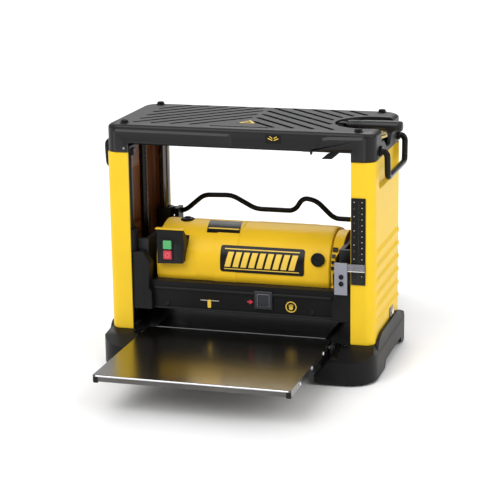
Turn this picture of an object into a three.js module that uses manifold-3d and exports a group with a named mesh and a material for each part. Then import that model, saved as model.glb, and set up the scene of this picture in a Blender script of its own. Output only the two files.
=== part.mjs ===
// Portable thickness planer: a fixed frame of base, columns and top cover, a cutterhead carriage
// that climbs on two lead screws, folding tables, and a folding crank on the top cover.
// Millimetres, +Z up, +X to the operator's right, -Y towards the operator (infeed side).
// The origin is the centre of the footprint, on the floor.

import * as THREE from "three";
import { mergeVertices } from "three/addons/utils/BufferGeometryUtils.js";
import Module from "manifold-3d";

const wasm = await Module();
wasm.setup();

// ---------------------------------------------------------------- driving dimensions
const GAP = 0.3; // between pieces that touch
const FLOOR_TO_BASE = 4; // height of the rubber feet
const BED_TOP = 71; // planing surface above the floor
const BED_HALF_WIDTH = 159; // the planing width is 318
const BED_HALF_DEPTH = 116.5;
const BASE_HALF_WIDTH = 255;
const BASE_HALF_DEPTH = 168;
const BASE_TOP = 62; // where the columns stand
const COLUMN_INNER = 204; // inner edges of the side covers
const COLUMN_OUTER = 246;
const COLUMN_HALF_DEPTH = 115.4;
const COLUMN_TOP = 390.7;
const COVER_BOTTOM = 391;
const COVER_TOP = 442;
const POST_X = { front: 215, rear: 208 };
const POST_Y = 92;
const SCREW_X = 215;
const SCREW_Y = -5;
const CUT_HEIGHT = 30; // distance from the bed to the knives with the head where it rests
const HEAD_RADIUS = 22;
const KNIFE_RADIUS = 24; // of the circle that the knife edges cut
const HEAD_Z = BED_TOP + CUT_HEIGHT + KNIFE_RADIUS;
const ROLLER_RADIUS = 18;
const ROLLER_Y = 60;
const ROLLER_Z = BED_TOP + CUT_HEIGHT - 0.5 + ROLLER_RADIUS;
const TABLE_HALF_WIDTH = 171.4;
const TABLE_INNER = 122; // distance of the table's near edge from the middle
const TABLE_OUTER = 404;
const HINGE_Y = 134; // table hinge
const HINGE_Z = 60;
const HOUSING_LEFT = -167;
const HOUSING_RIGHT = 158;
const HOUSING_FRONT = -82;
const HOUSING_REAR = 72;
const HOUSING_TOP = 249;
const DECK_TOP = 152; // top of the carriage's deck
const MOTOR_Z = 200;

const ROUND = 24; // sides of a round piece

// ---------------------------------------------------------------- finishes
const finish = (color, roughness, metalness = 0) =>
  new THREE.MeshStandardMaterial({ color, roughness, metalness });
const YELLOW = finish(0xecc438, 0.45);
const BLACK = finish(0x232325, 0.5);
const COVER_GREY = finish(0x4b4b4d, 0.6);
const CHROME = finish(0xd0d2d6, 0.15, 1);
const STEEL = finish(0x9a9ca0, 0.35, 1);
const STAINLESS = finish(0xb9bab8, 0.25, 1);
const RUBBER = finish(0x1a1a1a, 0.9);
const GREEN = finish(0x5fae6c, 0.5);
const RED = finish(0xc8384a, 0.5);
const ZINC = finish(0xd8c987, 0.4, 1);
const SMOKE = finish(0x9696a0, 0.3);
const CLEAR = finish(0xd8dade, 0.1);

// ---------------------------------------------------------------- solids
// A closed three.js geometry as a solid that can be joined and cut.
function solid(geometry) {
  const g = geometry.clone();
  g.deleteAttribute("normal");
  g.deleteAttribute("uv");
  const merged = mergeVertices(g, 1e-4);
  return new wasm.Manifold(
    new wasm.Mesh({
      numProp: 3,
      vertProperties: new Float32Array(merged.attributes.position.array),
      triVerts: new Uint32Array(merged.index.array),
    }),
  );
}

// A box from its two corners, given as three ranges.
function block([x0, x1], [y0, y1], [z0, z1]) {
  const g = new THREE.BoxGeometry(x1 - x0, y1 - y0, z1 - z0);
  g.translate((x0 + x1) / 2, (y0 + y1) / 2, (z0 + z1) / 2);
  return solid(g);
}

// A round bar along an axis, from one end to the other.
function bar(axis, radius, [from, to], a, b, sides = ROUND) {
  const g = new THREE.CylinderGeometry(radius, radius, to - from, sides);
  if (axis === "x") {
    g.rotateZ(Math.PI / 2);
    g.translate((from + to) / 2, a, b);
  } else if (axis === "y") {
    g.translate(a, (from + to) / 2, b);
  } else {
    g.rotateX(Math.PI / 2);
    g.translate(a, b, (from + to) / 2);
  }
  return solid(g);
}

// A closed outline from points, as a shape.
const outline = (points) => new THREE.Shape(points.map(([a, b]) => new THREE.Vector2(a, b)));

// An outline in the XY plane raised from z0 to z1.
function raise(shape, [z0, z1], curveSegments = 6) {
  const options = { depth: z1 - z0, bevelEnabled: false, curveSegments };
  const g = new THREE.ExtrudeGeometry(shape, options);
  g.translate(0, 0, z0);
  return solid(g);
}

// An outline in (y, z) drawn out along X from x0 to x1.
function alongX(shape, [x0, x1], curveSegments = 6) {
  const options = { depth: x1 - x0, bevelEnabled: false, curveSegments };
  const g = new THREE.ExtrudeGeometry(shape, options);
  g.rotateY(Math.PI / 2);
  g.rotateX(Math.PI / 2);
  g.translate(x0, 0, 0);
  return solid(g);
}

// An outline in (x, z) drawn out along Y from y0 to y1.
function alongY(shape, [y0, y1], curveSegments = 6) {
  const options = { depth: y1 - y0, bevelEnabled: false, curveSegments };
  const g = new THREE.ExtrudeGeometry(shape, options);
  g.rotateX(Math.PI / 2);
  g.translate(0, y1, 0);
  return solid(g);
}

// A rectangle with round corners, centred on the origin.
function roundRectangle(halfX, halfY, r) {
  const s = new THREE.Shape();
  s.moveTo(halfX - r, -halfY);
  s.absarc(halfX - r, -halfY + r, r, -Math.PI / 2, 0, false);
  s.absarc(halfX - r, halfY - r, r, 0, Math.PI / 2, false);
  s.absarc(-halfX + r, halfY - r, r, Math.PI / 2, Math.PI, false);
  s.absarc(-halfX + r, -halfY + r, r, Math.PI, Math.PI * 1.5, false);
  return s;
}

// A round rod that follows a list of points with rounded corners.
function bentRod(points, radius, bend, step = 8, sides = 10) {
  const path = new THREE.CurvePath();
  const corner = points.map((p) => new THREE.Vector3(...p));
  let from = corner[0];
  for (let i = 1; i < corner.length - 1; i += 1) {
    const before = corner[i].clone().sub(corner[i - 1]).normalize();
    const after = corner[i + 1].clone().sub(corner[i]).normalize();
    const enter = corner[i].clone().addScaledVector(before, -bend);
    const leave = corner[i].clone().addScaledVector(after, bend);
    path.add(new THREE.LineCurve3(from, enter));
    path.add(new THREE.QuadraticBezierCurve3(enter, corner[i], leave));
    from = leave;
  }
  path.add(new THREE.LineCurve3(from, corner[corner.length - 1]));
  const section = new THREE.Shape();
  section.absarc(0, 0, radius, 0, Math.PI * 2, false);
  return solid(
    new THREE.ExtrudeGeometry(section, {
      extrudePath: path,
      steps: Math.round(path.getLength() / step),
      curveSegments: sides / 2,
      bevelEnabled: false,
    }),
  );
}

const join = (first, ...others) => others.reduce((all, next) => all.add(next), first);
const cut = (first, ...others) => others.reduce((left, next) => left.subtract(next), first);

// A solid as a named mesh.
function piece(name, made, material) {
  const { vertProperties, triVerts, numProp } = made.getMesh();
  const positions = new Float32Array((vertProperties.length / numProp) * 3);
  for (let i = 0; i < positions.length / 3; i += 1)
    for (let k = 0; k < 3; k += 1) positions[i * 3 + k] = vertProperties[i * numProp + k];
  const g = new THREE.BufferGeometry();
  g.setAttribute("position", new THREE.BufferAttribute(positions, 3));
  g.setIndex(new THREE.BufferAttribute(new Uint32Array(triVerts), 1));
  const flat = g.toNonIndexed();
  flat.computeVertexNormals();
  const mesh = new THREE.Mesh(flat, material);
  mesh.name = name;
  return mesh;
}

function group(...members) {
  const g = new THREE.Group();
  g.add(...members);
  return g;
}

const SIDES = [
  ["left", -1],
  ["right", 1],
];
const ENDS = [
  ["front", -1],
  ["rear", 1],
];
// The same range on either side of the middle.
const mirror = ([a, b], side) => (side > 0 ? [a, b] : [-b, -a]);

// ---------------------------------------------------------------- base and bed
const RAIL_INNER = 150;
const BASE_CORNER = 50; // radius of the base's corners in plan
const RIM = 43; // where the base's ends start to slope up to the columns
const ARCH_TOP = 17.5; // clear height under the middle of each rail
const LUG = [173.5, 179]; // the ears that carry the table hinge rods
const ROD_RADIUS = 4;

function baseRail(side) {
  const x = mirror([RAIL_INNER, BASE_HALF_WIDTH], side);
  const plan = raise(
    roundRectangle(BASE_HALF_WIDTH, BASE_HALF_DEPTH, BASE_CORNER),
    [FLOOR_TO_BASE, BASE_TOP],
    8,
  );
  const profile = outline([
    [-BASE_HALF_DEPTH, FLOOR_TO_BASE],
    [-58, FLOOR_TO_BASE],
    [-46, ARCH_TOP],
    [88, ARCH_TOP],
    [100, FLOOR_TO_BASE],
    [BASE_HALF_DEPTH, FLOOR_TO_BASE],
    [BASE_HALF_DEPTH, RIM],
    [COLUMN_HALF_DEPTH + 4, BASE_TOP],
    [-COLUMN_HALF_DEPTH - 4, BASE_TOP],
    [-BASE_HALF_DEPTH, RIM],
  ]);
  const section = outline([
    [side * RAIL_INNER, FLOOR_TO_BASE],
    [side * BASE_HALF_WIDTH, FLOOR_TO_BASE],
    [side * BASE_HALF_WIDTH, 47],
    [side * (COLUMN_OUTER + 1), BASE_TOP],
    [side * RAIL_INNER, BASE_TOP],
  ]);
  const ridge = outline([
    [-112, 48],
    [-96, 68],
    [-70, 75],
    [70, 75],
    [96, 68],
    [112, 48],
  ]);
  const body = alongX(profile, x)
    .intersect(plan)
    .intersect(alongY(section, [-BASE_HALF_DEPTH, BASE_HALF_DEPTH]));
  return join(body, alongX(ridge, mirror([COLUMN_OUTER + GAP, COLUMN_OUTER + 6.5], side)));
}

// The slanted cut that clears the folding table, at the front or rear of a rail.
function tableClearance(side, end) {
  const wedge = outline([
    [side * 140, 16],
    [side * 157, 20],
    [side * 173, 44],
    [side * 173, 80],
    [side * 140, 80],
  ]);
  return alongY(wedge, mirror([112, BASE_HALF_DEPTH + 5], end));
}

// The hollow under a rail's middle, as in a thin-walled casting.
const railPocket = (side) => block(mirror([163, 241], side), [-108, 108], [-10, 50]);

function makeBase() {
  const tray = cut(
    block([-155, 155], [-105, 105], [30, BED_TOP - 5.6]),
    block([-140, 140], [-95, 95], [20, 58]),
  );
  let base = join(tray, ...SIDES.map(([, side]) => cut(baseRail(side), railPocket(side))));
  for (const [, side] of SIDES)
    for (const [, end] of ENDS) {
      base = cut(base, tableClearance(side, end));
      const ear = outline([
        [end * 116, 36],
        [end * 116, 62],
        [end * 128, 67.5],
        [end * 140, 67.5],
        [end * 146, 62],
        [end * 146, 36],
      ]);
      base = join(base, alongX(ear, mirror(LUG, side)));
      base = cut(base, bar("x", ROD_RADIUS + GAP, mirror([170, 182], side), end * HINGE_Y, HINGE_Z, 16));
    }
  return piece("base_casting", base, BLACK);
}

const bedPlate = piece(
  "bed_plate",
  block(
    [-BED_HALF_WIDTH, BED_HALF_WIDTH],
    [-BED_HALF_DEPTH, BED_HALF_DEPTH],
    [BED_TOP - 5.3, BED_TOP],
  ),
  STAINLESS,
);

const feet = [];
for (const [sideName, side] of SIDES)
  for (const [endName, end] of ENDS) {
    const pad = raise(roundRectangle(24, 15, 6), [0, FLOOR_TO_BASE - GAP], 3);
    const mesh = piece(`rubber_foot_${endName}_${sideName}`, pad, RUBBER);
    mesh.position.set(side * 212, end * 136, 0);
    feet.push(mesh);
  }

// ---------------------------------------------------------------- columns
const COVER_WALL = 3.5;
const CORNER = 15;
const RIB_COUNT = 6; // level ribs on each side cover
const RIB_FIRST = 100;
const RIB_STEP = 25;
const RIB_RADIUS = 4.6;

// Outline of the right side cover, a C open towards the middle of the machine.
function columnShape() {
  const s = new THREE.Shape();
  const r = CORNER;
  const d = COLUMN_HALF_DEPTH;
  const w = COVER_WALL;
  s.moveTo(COLUMN_INNER, -d);
  s.lineTo(COLUMN_OUTER - r, -d);
  s.absarc(COLUMN_OUTER - r, -d + r, r, -Math.PI / 2, 0, false);
  s.absarc(COLUMN_OUTER - r, d - r, r, 0, Math.PI / 2, false);
  s.lineTo(COLUMN_INNER, d);
  s.lineTo(COLUMN_INNER, d - w);
  s.absarc(COLUMN_OUTER - r, d - r, r - w, Math.PI / 2, 0, true);
  s.absarc(COLUMN_OUTER - r, -d + r, r - w, 0, -Math.PI / 2, true);
  s.lineTo(COLUMN_INNER, -d + w);
  return s;
}

// The scooped hand recess behind each carry handle.
const scoop = outline([
  [-76, 400],
  [-76, 346],
  [-67, 337],
  [87, 337],
  [96, 346],
  [96, 400],
]);

// The left cover is the right one mirrored.
function makeSideCover(name, side) {
  let shell = raise(columnShape(), [BASE_TOP + GAP, COLUMN_TOP]);
  for (let i = 0; i < RIB_COUNT; i += 1)
    shell = join(shell, bar("y", RIB_RADIUS, [-96, 96], COLUMN_OUTER - 1, RIB_FIRST + RIB_STEP * i, 10));
  shell = join(shell, block([233.5, 244], [-84, 104], [315, COLUMN_TOP - 2]));
  const mesh = piece(name, cut(shell, alongX(scoop, [237, 260])), YELLOW);
  mesh.scale.x = side;
  return mesh;
}

const POST_TOP = 394.7;
const posts = [];
for (const [sideName, side] of SIDES)
  for (const [endName, end] of ENDS)
    posts.push(
      piece(
        `guide_post_${endName}_${sideName}`,
        bar("z", 10, [BASE_TOP + GAP, POST_TOP], side * POST_X[endName], end * POST_Y, 20),
        CHROME,
      ),
    );

const depthScale = piece(
  "depth_scale",
  block([205, 230.7], [-COLUMN_HALF_DEPTH - 1.9, -COLUMN_HALF_DEPTH - GAP], [172.6, 328.2]),
  BLACK,
);

// ---------------------------------------------------------------- top
const PLATE = [395, 401]; // the steel plate that ties the columns together
const PLATE_NOTCH_Y = 60; // its edges between the columns, clear of the lock bar as it rises
const RECESS_RADIUS = 62;
const RECESS_FLOOR = 417;
const SPROCKET_RADIUS = 16;
const SPROCKET = [404, 410];

function makeUpperFrame() {
  const plate = raise(roundRectangle(236, 107, 12), PLATE, 3);
  const holes = SIDES.map(([, side]) => bar("z", 8, [390, 405], side * SCREW_X, SCREW_Y, 20));
  const notchX = COLUMN_INNER - 0.5;
  const notches = ENDS.map(([, end]) =>
    block([-notchX, notchX], mirror([PLATE_NOTCH_Y, 120], end), [390, 405]),
  );
  return piece("upper_frame", cut(plate, ...holes, ...notches), STEEL);
}

function makeTopCover() {
  const bevel = 6;
  const wall = 4;
  const outer = new THREE.ExtrudeGeometry(
    roundRectangle(COLUMN_OUTER - bevel, COLUMN_HALF_DEPTH - bevel + 1, 12),
    {
      depth: COVER_TOP - COVER_BOTTOM - bevel,
      bevelEnabled: true,
      bevelSize: bevel,
      bevelThickness: bevel,
      bevelSegments: 2,
      curveSegments: 5,
    },
  );
  outer.translate(0, 0, COVER_BOTTOM);
  const inner = raise(roundRectangle(COLUMN_OUTER - wall, COLUMN_HALF_DEPTH - wall + 1, 12), [380, 435], 5);
  let cover = cut(solid(outer), block([-300, 300], [-200, 200], [370, COVER_BOTTOM]), inner);
  cover = cut(cover, block([-COLUMN_INNER, COLUMN_INNER], [-130, 130], [380, 408.5]));
  const cup = bar("z", RECESS_RADIUS + 4, [RECESS_FLOOR - 3.5, 436], SCREW_X, SCREW_Y, 36).intersect(
    raise(roundRectangle(COLUMN_OUTER - 2, 100, 10), [400, 440], 3),
  );
  cover = join(cover, cup);
  cover = cut(
    cover,
    bar("z", RECESS_RADIUS, [RECESS_FLOOR, 450], SCREW_X, SCREW_Y, 36),
    bar("z", 8, [400, 450], SCREW_X, SCREW_Y, 20),
  );
  const notch = outline([
    [-44, 420],
    [-10, 400],
    [14, 400],
    [38, 420],
  ]);
  return piece("top_cover", cut(cover, alongX(notch, [243, 250])), COVER_GREY);
}

const topBolts = [];
for (const [sideName, side] of SIDES)
  for (const [endName, end] of ENDS) {
    const washer = bar("z", 8.5, [0, 1.2], 0, 0, 16);
    const bolt = join(washer, bar("z", 6.5, [1, 5.2], 0, 0, 6));
    const mesh = piece(`top_bolt_${endName}_${sideName}`, bolt, BLACK);
    mesh.position.set(side * 214, end * 100, COVER_TOP + GAP);
    topBolts.push(mesh);
  }

const bearingRing = piece(
  "crank_bearing_ring",
  cut(
    bar("z", 30, [RECESS_FLOOR + GAP, 422], SCREW_X, SCREW_Y, 32),
    bar("z", 8, [410, 430], SCREW_X, SCREW_Y, 20),
  ),
  ZINC,
);

// The chain that turns both lead screws together, as one closed loop.
function makeLiftChain() {
  const loop = (r) => {
    const s = new THREE.Shape();
    s.moveTo(-SCREW_X, -r);
    s.lineTo(SCREW_X, -r);
    s.absarc(SCREW_X, 0, r, -Math.PI / 2, Math.PI / 2, false);
    s.absarc(-SCREW_X, 0, r, Math.PI / 2, Math.PI * 1.5, false);
    return s;
  };
  const band = cut(
    raise(loop(SPROCKET_RADIUS + 3.3), [405.2, 408.8], 16),
    raise(loop(SPROCKET_RADIUS + GAP), [400, 412], 16),
  );
  const mesh = piece("lift_chain", band, STEEL);
  mesh.position.y = SCREW_Y;
  return mesh;
}

const HANDLE_REACH = 259; // distance of its grip from the middle
const HANDLE_HIGH = 404; // where it enters the cover
const HANDLE_LOW = 356;
const HANDLE_ENDS = [-71, 90];

// A carry handle: a rod loop that hangs from the side of the top cover.
function makeCarryHandle(name, side) {
  const wall = COLUMN_OUTER + GAP;
  const [front, rear] = HANDLE_ENDS;
  const route = [
    [wall, front, HANDLE_HIGH],
    [HANDLE_REACH, front, HANDLE_HIGH],
    [HANDLE_REACH, front + 5, HANDLE_LOW],
    [HANDLE_REACH, rear - 2, HANDLE_LOW],
    [HANDLE_REACH, rear, HANDLE_HIGH],
    [wall, rear, HANDLE_HIGH],
  ];
  const grommets = HANDLE_ENDS.map((y) => bar("x", 9, [wall, wall + 4], y, HANDLE_HIGH, 16));
  const mesh = piece(name, join(bentRod(route, 5.5, 12), ...grommets), BLACK);
  mesh.scale.x = side;
  return mesh;
}

// ---------------------------------------------------------------- lead screws and crank
const leadScrew = (name, side, top) =>
  piece(
    name,
    join(
      bar("z", 7, [BASE_TOP + GAP, top], side * SCREW_X, SCREW_Y, 20),
      bar("z", SPROCKET_RADIUS, SPROCKET, side * SCREW_X, SCREW_Y, 28),
      bar("z", 12, [BASE_TOP + GAP, BASE_TOP + 6], side * SCREW_X, SCREW_Y, 20),
    ),
    STEEL,
  );

const ARM = [422.3, 426.3]; // thickness of the crank arm
const PIN_X = 163; // the hinge that folds the grip
const PIN_Z = 433;
const GRIP_Z = 436.6;
const GRIP_FROM = 174;
const GRIP_TO = 273;

function makeCrankArm() {
  const s = new THREE.Shape();
  s.moveTo(PIN_X + 4, SCREW_Y - 12);
  s.lineTo(SCREW_X, SCREW_Y - 16);
  s.absarc(SCREW_X, SCREW_Y, 16, -Math.PI / 2, Math.PI / 2, false);
  s.lineTo(PIN_X + 4, SCREW_Y + 12);
  s.absarc(PIN_X + 4, SCREW_Y, 12, Math.PI / 2, Math.PI * 1.5, false);
  let arm = raise(s, ARM, 8);
  for (const [, end] of ENDS) {
    const ear = block([PIN_X - 5, PIN_X + 5], mirror([8.3, 11.8], end), [ARM[1] - 1, PIN_Z + 5]);
    arm = join(arm, ear.translate([0, SCREW_Y, 0]));
  }
  arm = cut(arm, bar("y", 3.3, [SCREW_Y - 15, SCREW_Y + 15], PIN_X, PIN_Z, 14));
  return piece("crank_arm", arm, BLACK);
}

function makeGripHinge() {
  const swivel = block([PIN_X - 4.5, PIN_X + 7.5], [SCREW_Y - 8, SCREW_Y + 8], [PIN_Z - 4.5, PIN_Z + 7.5]);
  const pin = bar("y", 3, [SCREW_Y - 12.5, SCREW_Y + 12.5], PIN_X, PIN_Z, 14);
  const spindle = bar("x", 4, [PIN_X + 6, GRIP_TO - 10], SCREW_Y, GRIP_Z, 14);
  return piece("grip_hinge", join(swivel, pin, spindle), STEEL);
}

// The grip is a turned sleeve that spins on the hinge's spindle.
function makeCrankGrip() {
  const length = GRIP_TO - GRIP_FROM;
  const bore = 4.3;
  const profile = [
    [bore, 0],
    [7, 0],
    [8.6, 6],
    [9.3, 24],
    [9.5, length - 14],
    [9.2, length - 4],
    [7, length],
    [0, length],
    [0, length - 9.5],
    [bore, length - 9.5],
    [bore, 0],
  ];
  const g = new THREE.LatheGeometry(profile.map(([r, h]) => new THREE.Vector2(r, h)), ROUND);
  g.rotateZ(-Math.PI / 2);
  g.translate(GRIP_FROM, SCREW_Y, GRIP_Z);
  return piece("crank_grip", solid(g), BLACK);
}

// ---------------------------------------------------------------- carriage
const PANEL_Y = 97; // outer face of the carriage's front and rear panels
const PANEL_BOTTOM = 100;
const BEARING = [160, 168]; // plates that hold the shafts
const SIDE_FRAME = [178, 186];
const SIDE_FRAME_TOP = 228;
const BUSH_RADIUS = 17; // the sleeves that slide on the guide posts
const BUSH_TOP = 246;
const LOCK_Y = 105; // axis of the lock bar
const LOCK_Z = 236;

function makeCarriage() {
  const panels = ENDS.map(([, end]) =>
    block([-COLUMN_INNER, COLUMN_INNER], mirror([90, PANEL_Y], end), [PANEL_BOTTOM, DECK_TOP]),
  );
  const deck = cut(
    block([-162, 162], [-92, 92], [146, DECK_TOP]),
    block([-158, 158], [-34, 34], [140, 160]),
  );
  let carriage = join(deck, ...panels);
  for (const [, side] of SIDES) {
    carriage = join(
      carriage,
      block(mirror(BEARING, side), [-92, 92], [PANEL_BOTTOM + 4, DECK_TOP]),
      block(mirror(SIDE_FRAME, side), [-92, 92], [PANEL_BOTTOM + 4, SIDE_FRAME_TOP]),
      block(mirror([184, SCREW_X], side), [SCREW_Y - 12, SCREW_Y + 12], [112, 148]),
      bar("z", 14, [112, 148], side * SCREW_X, SCREW_Y, 20),
      block(mirror(SIDE_FRAME, side), [84, LOCK_Y + 8], [LOCK_Z - 20, LOCK_Z + 9]),
      bar("x", 8.5, mirror([SIDE_FRAME[0], 200], side), LOCK_Y, LOCK_Z, 16),
    );
    for (const [endName, end] of ENDS) {
      const postX = POST_X[endName];
      const web = block(
        mirror([SIDE_FRAME[0], postX], side),
        mirror([84, 92], end),
        [PANEL_BOTTOM + 4, SIDE_FRAME_TOP],
      );
      const bush = bar("z", BUSH_RADIUS, [PANEL_BOTTOM + 4, BUSH_TOP], side * postX, end * POST_Y, 20);
      carriage = join(carriage, web, bush);
    }
    const holes = [
      bar("z", 7.5, [100, 160], side * SCREW_X, SCREW_Y, 20),
      bar("x", 10.3, mirror([150, 170], side), 0, HEAD_Z, 20),
      bar("x", 5.4, mirror([170, 190], side), LOCK_Y, LOCK_Z, 16),
    ];
    for (const [endName, end] of ENDS)
      holes.push(
        bar("z", 10.3, [90, 260], side * POST_X[endName], end * POST_Y, 20),
        bar("x", 6.3, mirror([150, 170], side), end * ROLLER_Y, ROLLER_Z, 16),
      );
    carriage = cut(carriage, ...holes);
  }
  return piece("carriage_casting", carriage, BLACK);
}

// Outline of the motor housing in (y, z), grown by an offset.
function housingShape(grow, bottom = DECK_TOP + GAP) {
  const front = HOUSING_FRONT - grow;
  const rear = HOUSING_REAR + grow;
  const top = HOUSING_TOP + grow;
  const s = new THREE.Shape();
  s.moveTo(front, bottom);
  s.lineTo(rear, bottom);
  s.lineTo(rear, 192);
  s.bezierCurveTo(rear, top - 14, 20, top - 4, -6, top);
  s.bezierCurveTo(-48, top, front, 222, front, 186);
  return s;
}

const RESET_X = -128; // the overload button on top of the housing
const RESET_Y = -12;

function makeMotorHousing() {
  const wall = 4;
  const outer = alongX(housingShape(0), [HOUSING_LEFT, HOUSING_RIGHT], 8);
  const inner = alongX(housingShape(-wall, 140), [HOUSING_LEFT + wall, HOUSING_RIGHT - wall], 8);
  const shaftHole = bar("x", 9, [150, 165], 0, MOTOR_Z, 16);
  const resetHole = bar("z", 6.4, [240, 260], RESET_X, RESET_Y, 16);
  return piece("motor_housing", cut(outer, inner, shaftHole, resetHole), YELLOW);
}

const BELT_COVER = [HOUSING_RIGHT + GAP, 166.5];
const BELT_GUARD = [BELT_COVER[1] + GAP, 177.7];
const GUARD_FRONT = -24; // the guard's front, and where the collar's slanted facet ends

// The collar between the housing and the guard, with a slanted facet at the front.
function makeBeltCover() {
  const [inner, outer] = BELT_COVER;
  const front = HOUSING_FRONT + 6;
  const facet = outline([
    [inner - 1, front - 10],
    [inner, front],
    [outer, GUARD_FRONT],
    [outer + 5, GUARD_FRONT],
    [outer + 5, front - 10],
  ]);
  const shaftHole = bar("x", 9, [150, 170], 0, MOTOR_Z, 16);
  return piece(
    "belt_cover",
    cut(alongX(housingShape(-6), BELT_COVER, 6), raise(facet, [140, 260]), shaftHole),
    YELLOW,
  );
}

// The guard closes the belt side; its shell is open below and towards the collar.
function makeBeltGuard() {
  const shell = (inset, bottom) =>
    outline([
      [GUARD_FRONT + inset, bottom],
      [54 - inset, bottom],
      [54 - inset, 205],
      [34 - inset, 232 - inset],
      [-12 + inset, 232 - inset],
      [GUARD_FRONT + inset, 214],
    ]);
  const outer = alongX(shell(0, DECK_TOP + GAP), BELT_GUARD);
  const inner = alongX(shell(2.5, 140), [160, BELT_GUARD[1] - 2.5]);
  return piece("belt_guard", cut(outer, inner), BLACK);
}

const SWITCH_X = [-160, -111];
const SWITCH_Z = [184, 247];
const BUTTON_X = [-148, -132];
const BUTTONS = { start_button: [212, 228], stop_button: [193, 209] };

function makeSwitchBox() {
  let box = block(SWITCH_X, [-96, -60], SWITCH_Z);
  box = cut(box, alongX(housingShape(GAP), [-300, 300], 8));
  for (const z of Object.values(BUTTONS))
    box = cut(
      box,
      block([BUTTON_X[0] - 0.5, BUTTON_X[1] + 0.5], [-110, -88.5], [z[0] - 0.5, z[1] + 0.5]),
    );
  return piece("switch_box", box, BLACK);
}

const button = (name, material) =>
  piece(name, block(BUTTON_X, [-99, -91.5], BUTTONS[name]), material);

const resetButton = piece("reset_button", bar("z", 6, [244, 254], RESET_X, RESET_Y, 16), BLACK);

function makeMotorStator() {
  const core = cut(
    bar("x", 39, [-70, 60], 0, MOTOR_Z, 28),
    bar("x", 27.5, [-80, 70], 0, MOTOR_Z, 28),
  );
  const seat = cut(
    block([-40, 30], [-30, 30], [DECK_TOP + GAP, 175]),
    bar("x", 30, [-80, 70], 0, MOTOR_Z, 28),
    block([-60, 60], [-34.5, 34.5], [150, 154]),
  );
  return piece("motor_stator", join(core, seat), STEEL);
}

const MOTOR_PULLEY = 10;
const HEAD_PULLEY = 20;
const BELT = [170.5, 174.5];

function makeArmature() {
  return piece(
    "motor_armature",
    join(
      bar("x", 26.5, [-65, 55], 0, MOTOR_Z, 24),
      bar("x", 6, [-120, 170], 0, MOTOR_Z, 16),
      bar("x", MOTOR_PULLEY, [169.5, 174.8], 0, MOTOR_Z, 20),
    ),
    STEEL,
  );
}

// The belt's outline round both pulleys, at a distance from each.
function beltShape(offset) {
  const small = MOTOR_PULLEY + offset;
  const large = HEAD_PULLEY + offset;
  const lean = Math.asin((HEAD_PULLEY - MOTOR_PULLEY) / (MOTOR_Z - HEAD_Z));
  const s = new THREE.Shape();
  s.absarc(0, MOTOR_Z, small, lean, Math.PI - lean, false);
  s.absarc(0, HEAD_Z, large, Math.PI - lean, Math.PI * 2 + lean, false);
  return s;
}

const driveBelt = piece(
  "drive_belt",
  cut(alongX(beltShape(2.6), BELT, 12), alongX(beltShape(GAP), [165, 180], 12)),
  RUBBER,
);

// ---------------------------------------------------------------- cutterhead and rollers
function makeCutterhead() {
  let head = join(
    bar("x", HEAD_RADIUS, [-157.5, 157.5], 0, HEAD_Z, 28),
    bar("x", 10, [-167.5, 170], 0, HEAD_Z, 20),
    bar("x", HEAD_PULLEY, [169.5, 174.8], 0, HEAD_Z, 28),
  );
  for (const [, side] of ENDS)
    head = cut(head, block([-158.5, 158.5], mirror([14, 30], side), mirror([3, 30], -side)
      .map((z) => z + HEAD_Z)));
  return piece("cutterhead", head, STEEL);
}

// Each knife stands on a flat of the head, with its edge on the cutting circle.
function makeKnife(name, side) {
  const reach = Math.sqrt(KNIFE_RADIUS ** 2 - 16.3 ** 2);
  const blade = outline([
    [side * 14.3, -side * 3.3],
    [side * 16.3, -side * 3.3],
    [side * 16.3, -side * reach],
    [side * 14.3, -side * (reach - 2)],
  ]);
  const mesh = piece(name, alongX(blade, [-157, 157]), CHROME);
  mesh.position.z = HEAD_Z;
  return mesh;
}

const roller = (name, end) =>
  piece(
    name,
    join(
      bar("x", ROLLER_RADIUS, [-157, 157], end * ROLLER_Y, ROLLER_Z, 24),
      bar("x", 6, [-167.7, 167.7], end * ROLLER_Y, ROLLER_Z, 16),
    ),
    RUBBER,
  );

// ---------------------------------------------------------------- small pieces on the carriage
const FACE_Y = -PANEL_Y - GAP; // just in front of the carriage's front panel

const brushCap = piece("brush_cap", bar("y", 12.5, [-86, -82 - GAP], 137, 205, 20), BLACK);

const gaugeWindow = piece(
  "gauge_window",
  cut(
    block([24, 57], [FACE_Y - 4, FACE_Y], [112, 145]),
    block([30, 51], [FACE_Y - 10, FACE_Y - 1.5], [118, 139]),
  ),
  SMOKE,
);

const gaugePointer = piece(
  "gauge_pointer",
  alongY(
    outline([
      [13, 120],
      [21, 123],
      [13, 126],
    ]),
    [FACE_Y - 1.2, FACE_Y],
  ),
  RED,
);

const gaugeTab = piece(
  "gauge_tab",
  block([-65, -58.5], [FACE_Y - 2.2, FACE_Y], [107, 122]),
  YELLOW,
);

// The bracket carries the cursor in front of the depth scale.
const pointerBracket = piece(
  "pointer_bracket",
  join(
    block([176, 199], [-122, -119], [154, 212]),
    block([178, 184], [-120, -92 - GAP], [158, 170]),
  ),
  SMOKE,
);
const cursorLens = piece(
  "cursor_lens",
  block([199 + GAP, 231], [-121.5, -119.2], [173, 212]),
  CLEAR,
);

const cordInlet = piece(
  "cord_inlet",
  join(
    bar("y", 9, [72 + GAP, 78], -140, 180, 18),
    cut(bar("y", 6.5, [77, 92], -140, 180, 18), bar("y", 3.8, [82, 95], -140, 180, 14)),
  ),
  BLACK,
);

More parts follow.
